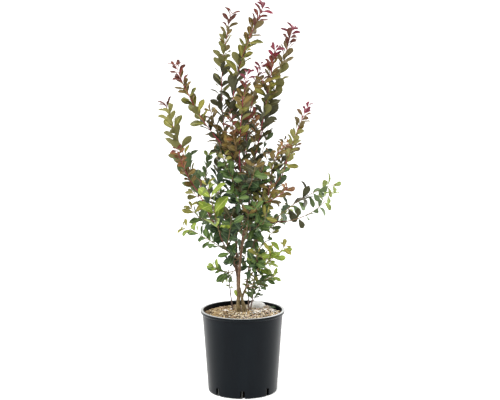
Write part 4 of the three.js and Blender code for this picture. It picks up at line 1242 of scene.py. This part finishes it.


# Living leaf: satin with a paler rib and a dull, greyer underside whose colour is darkened as
# painted shade
def leafSkin(name, colour, dark, rib, under):
    material = newMaterial(name)
    place = addNode(material, "TexCoord")
    own = addNode(material, "SeparateXYZ", {"Vector": (place, "UV")})
    off = addNode(material, "Math", {0: (own, "X"), 1: 0.5}, operation="SUBTRACT")
    away = addNode(material, "Math", {0: (off, 0)}, operation="ABSOLUTE")
    blotches = addNode(material, "TexNoise",
                       {"Vector": (place, "Object"), "Scale": featureSize(38), "Detail": 2.0})
    tone = addNode(material, "ValToRGB", {"Fac": (blotches, "Fac")},
                   stops=[(0.38, dark), (0.62, colour)])
    onRib = addNode(material, "MapRange",
                    {"Value": (away, 0), "From Min": leafShape["rib"][0],
                     "From Max": leafShape["rib"][1], "To Min": leafShape["ribShow"],
                     "To Max": 0.0})
    ribbed = addNode(material, "Mix",
                     {0: (onRib, 0), 6: (tone, "Color"), 7: rib}, data_type="RGBA")
    below = addNode(material, "Attribute", attribute_name="underside")
    # the underside colour is darkened as painted shade, for leaves turned from the light
    both = addNode(material, "Mix",
                   {0: (below, "Fac"), 6: (ribbed, 2), 7: under}, data_type="RGBA")
    # side veins leave the rib at a slant, about six to each side
    slant = addNode(material, "Math",
                    {0: (away, 0), 1: leafShape["veinSlant"], 2: (own, "Y")},
                    operation="MULTIPLY_ADD")
    veins = addNode(material, "Math", {0: (slant, 0), 1: leafShape["veins"]},
                    operation="MULTIPLY")
    ripple = addNode(material, "Math", {0: (veins, 0)}, operation="SINE")
    relief = addNode(material, "Bump",
                     {"Height": (ripple, 0), "Strength": 0.25, "Distance": 0.3 * metre})
    gloss = addNode(material, "MapRange",
                    {"Value": (below, "Fac"), "To Min": 0.38, "To Max": 0.7})
    return shaded(material, **{"Base Color": (both, 2), "Roughness": (gloss, 0),
                               "Normal": (relief, 0), "IOR": 1.45,
                               "Specular IOR Level": 0.28})


# All leaves of one tint as one piece, each with its own place on the UV map
def buildLeaves(tint, leaves, nodes):
    colour, dark, rib, under, slotName = tints[tint]
    points = leafMesh(leaves)
    count = len(leafPoints)
    faces = [[k + count * i for k in face] for i in range(len(leaves)) for face in leafFaces]
    piece = meshFrom("leaves_" + tint, points.reshape(-1, 3), faces,
                     leafSkin("leaf_" + tint, colour, dark, rib, under))
    data = piece.data
    own = np.tile(np.stack([leafPoints[:, 1] / 2 + 0.5, leafPoints[:, 0]], 1), (len(leaves), 1))
    corners = np.zeros(len(data.loops), int)
    data.loops.foreach_get("vertex_index", corners)
    data.uv_layers.new(name="leaf").data.foreach_set("uv", own[corners].ravel())
    below = data.attributes.new("underside", "FLOAT", "FACE")
    below.data.foreach_set("value", np.tile(underFace, len(leaves)).astype(float))
    smooth(piece, 75)
    settle(piece, slotName, *nodes)


def strayLeaf(root, pointing, upper, length, phase):
    pointing, upper = Vector(pointing).normalized(), Vector(upper)
    upper = (upper - pointing * upper.dot(pointing)).normalized()
    return {"root": Vector(root), "pointing": pointing, "upper": upper, "length": length,
            "phase": phase, **strayShape}


def growFoliage():
    piles = {tone: ([], []) for tone in twigTones}
    dealt = {tint: [] for tint in tints}
    standsFor = {tint: [] for tint in tints}
    for seed, (name, spray) in enumerate({**sprays, **innerTwigs}.items(), 1):
        carrier, *_, reach, kind = spray
        mainTint, _, _, rosy, _ = sprayKinds[kind]
        if name in sprays:
            standsFor[mainTint].append(name)
        for shoot in sprayShoots(name, spray, seed):
            addTwig(piles, shoot, rosy, carrier is None)
            inside = [leaf for leaf in shootLeaves(shoot) if isInside(leaf, curves[name], reach)]
            for k, leaf in enumerate(inside):
                points = leafMesh([leaf])[0]
                if not crosses(points[keepOut["rootPoints"]:], (*shoot["seeds"], k)):
                    dealt[tintOf(kind, leaf["fromTip"])].append(leaf)
                    addPetiole(piles["pink" if rosy else "brown"], leaf)
    for i, (*shape, tint) in enumerate(strays):
        dealt[tint].append(strayLeaf(*shape, i))
    for tint, leaves in dealt.items():
        buildLeaves(tint, leaves, standsFor[tint])
        print("leaves:", tint, len(leaves))
    for tone, (dark, pale) in twigTones.items():
        skin = grainy("young_stem_" + tone, "stem", [(0.35, dark), (0.65, pale)])
        piece = meshFrom("twigs_" + tone, *piles[tone], skin)
        smooth(piece, 60)
        settle(piece, "bark")


growFoliage()
print("foliage: leaves and twigs")
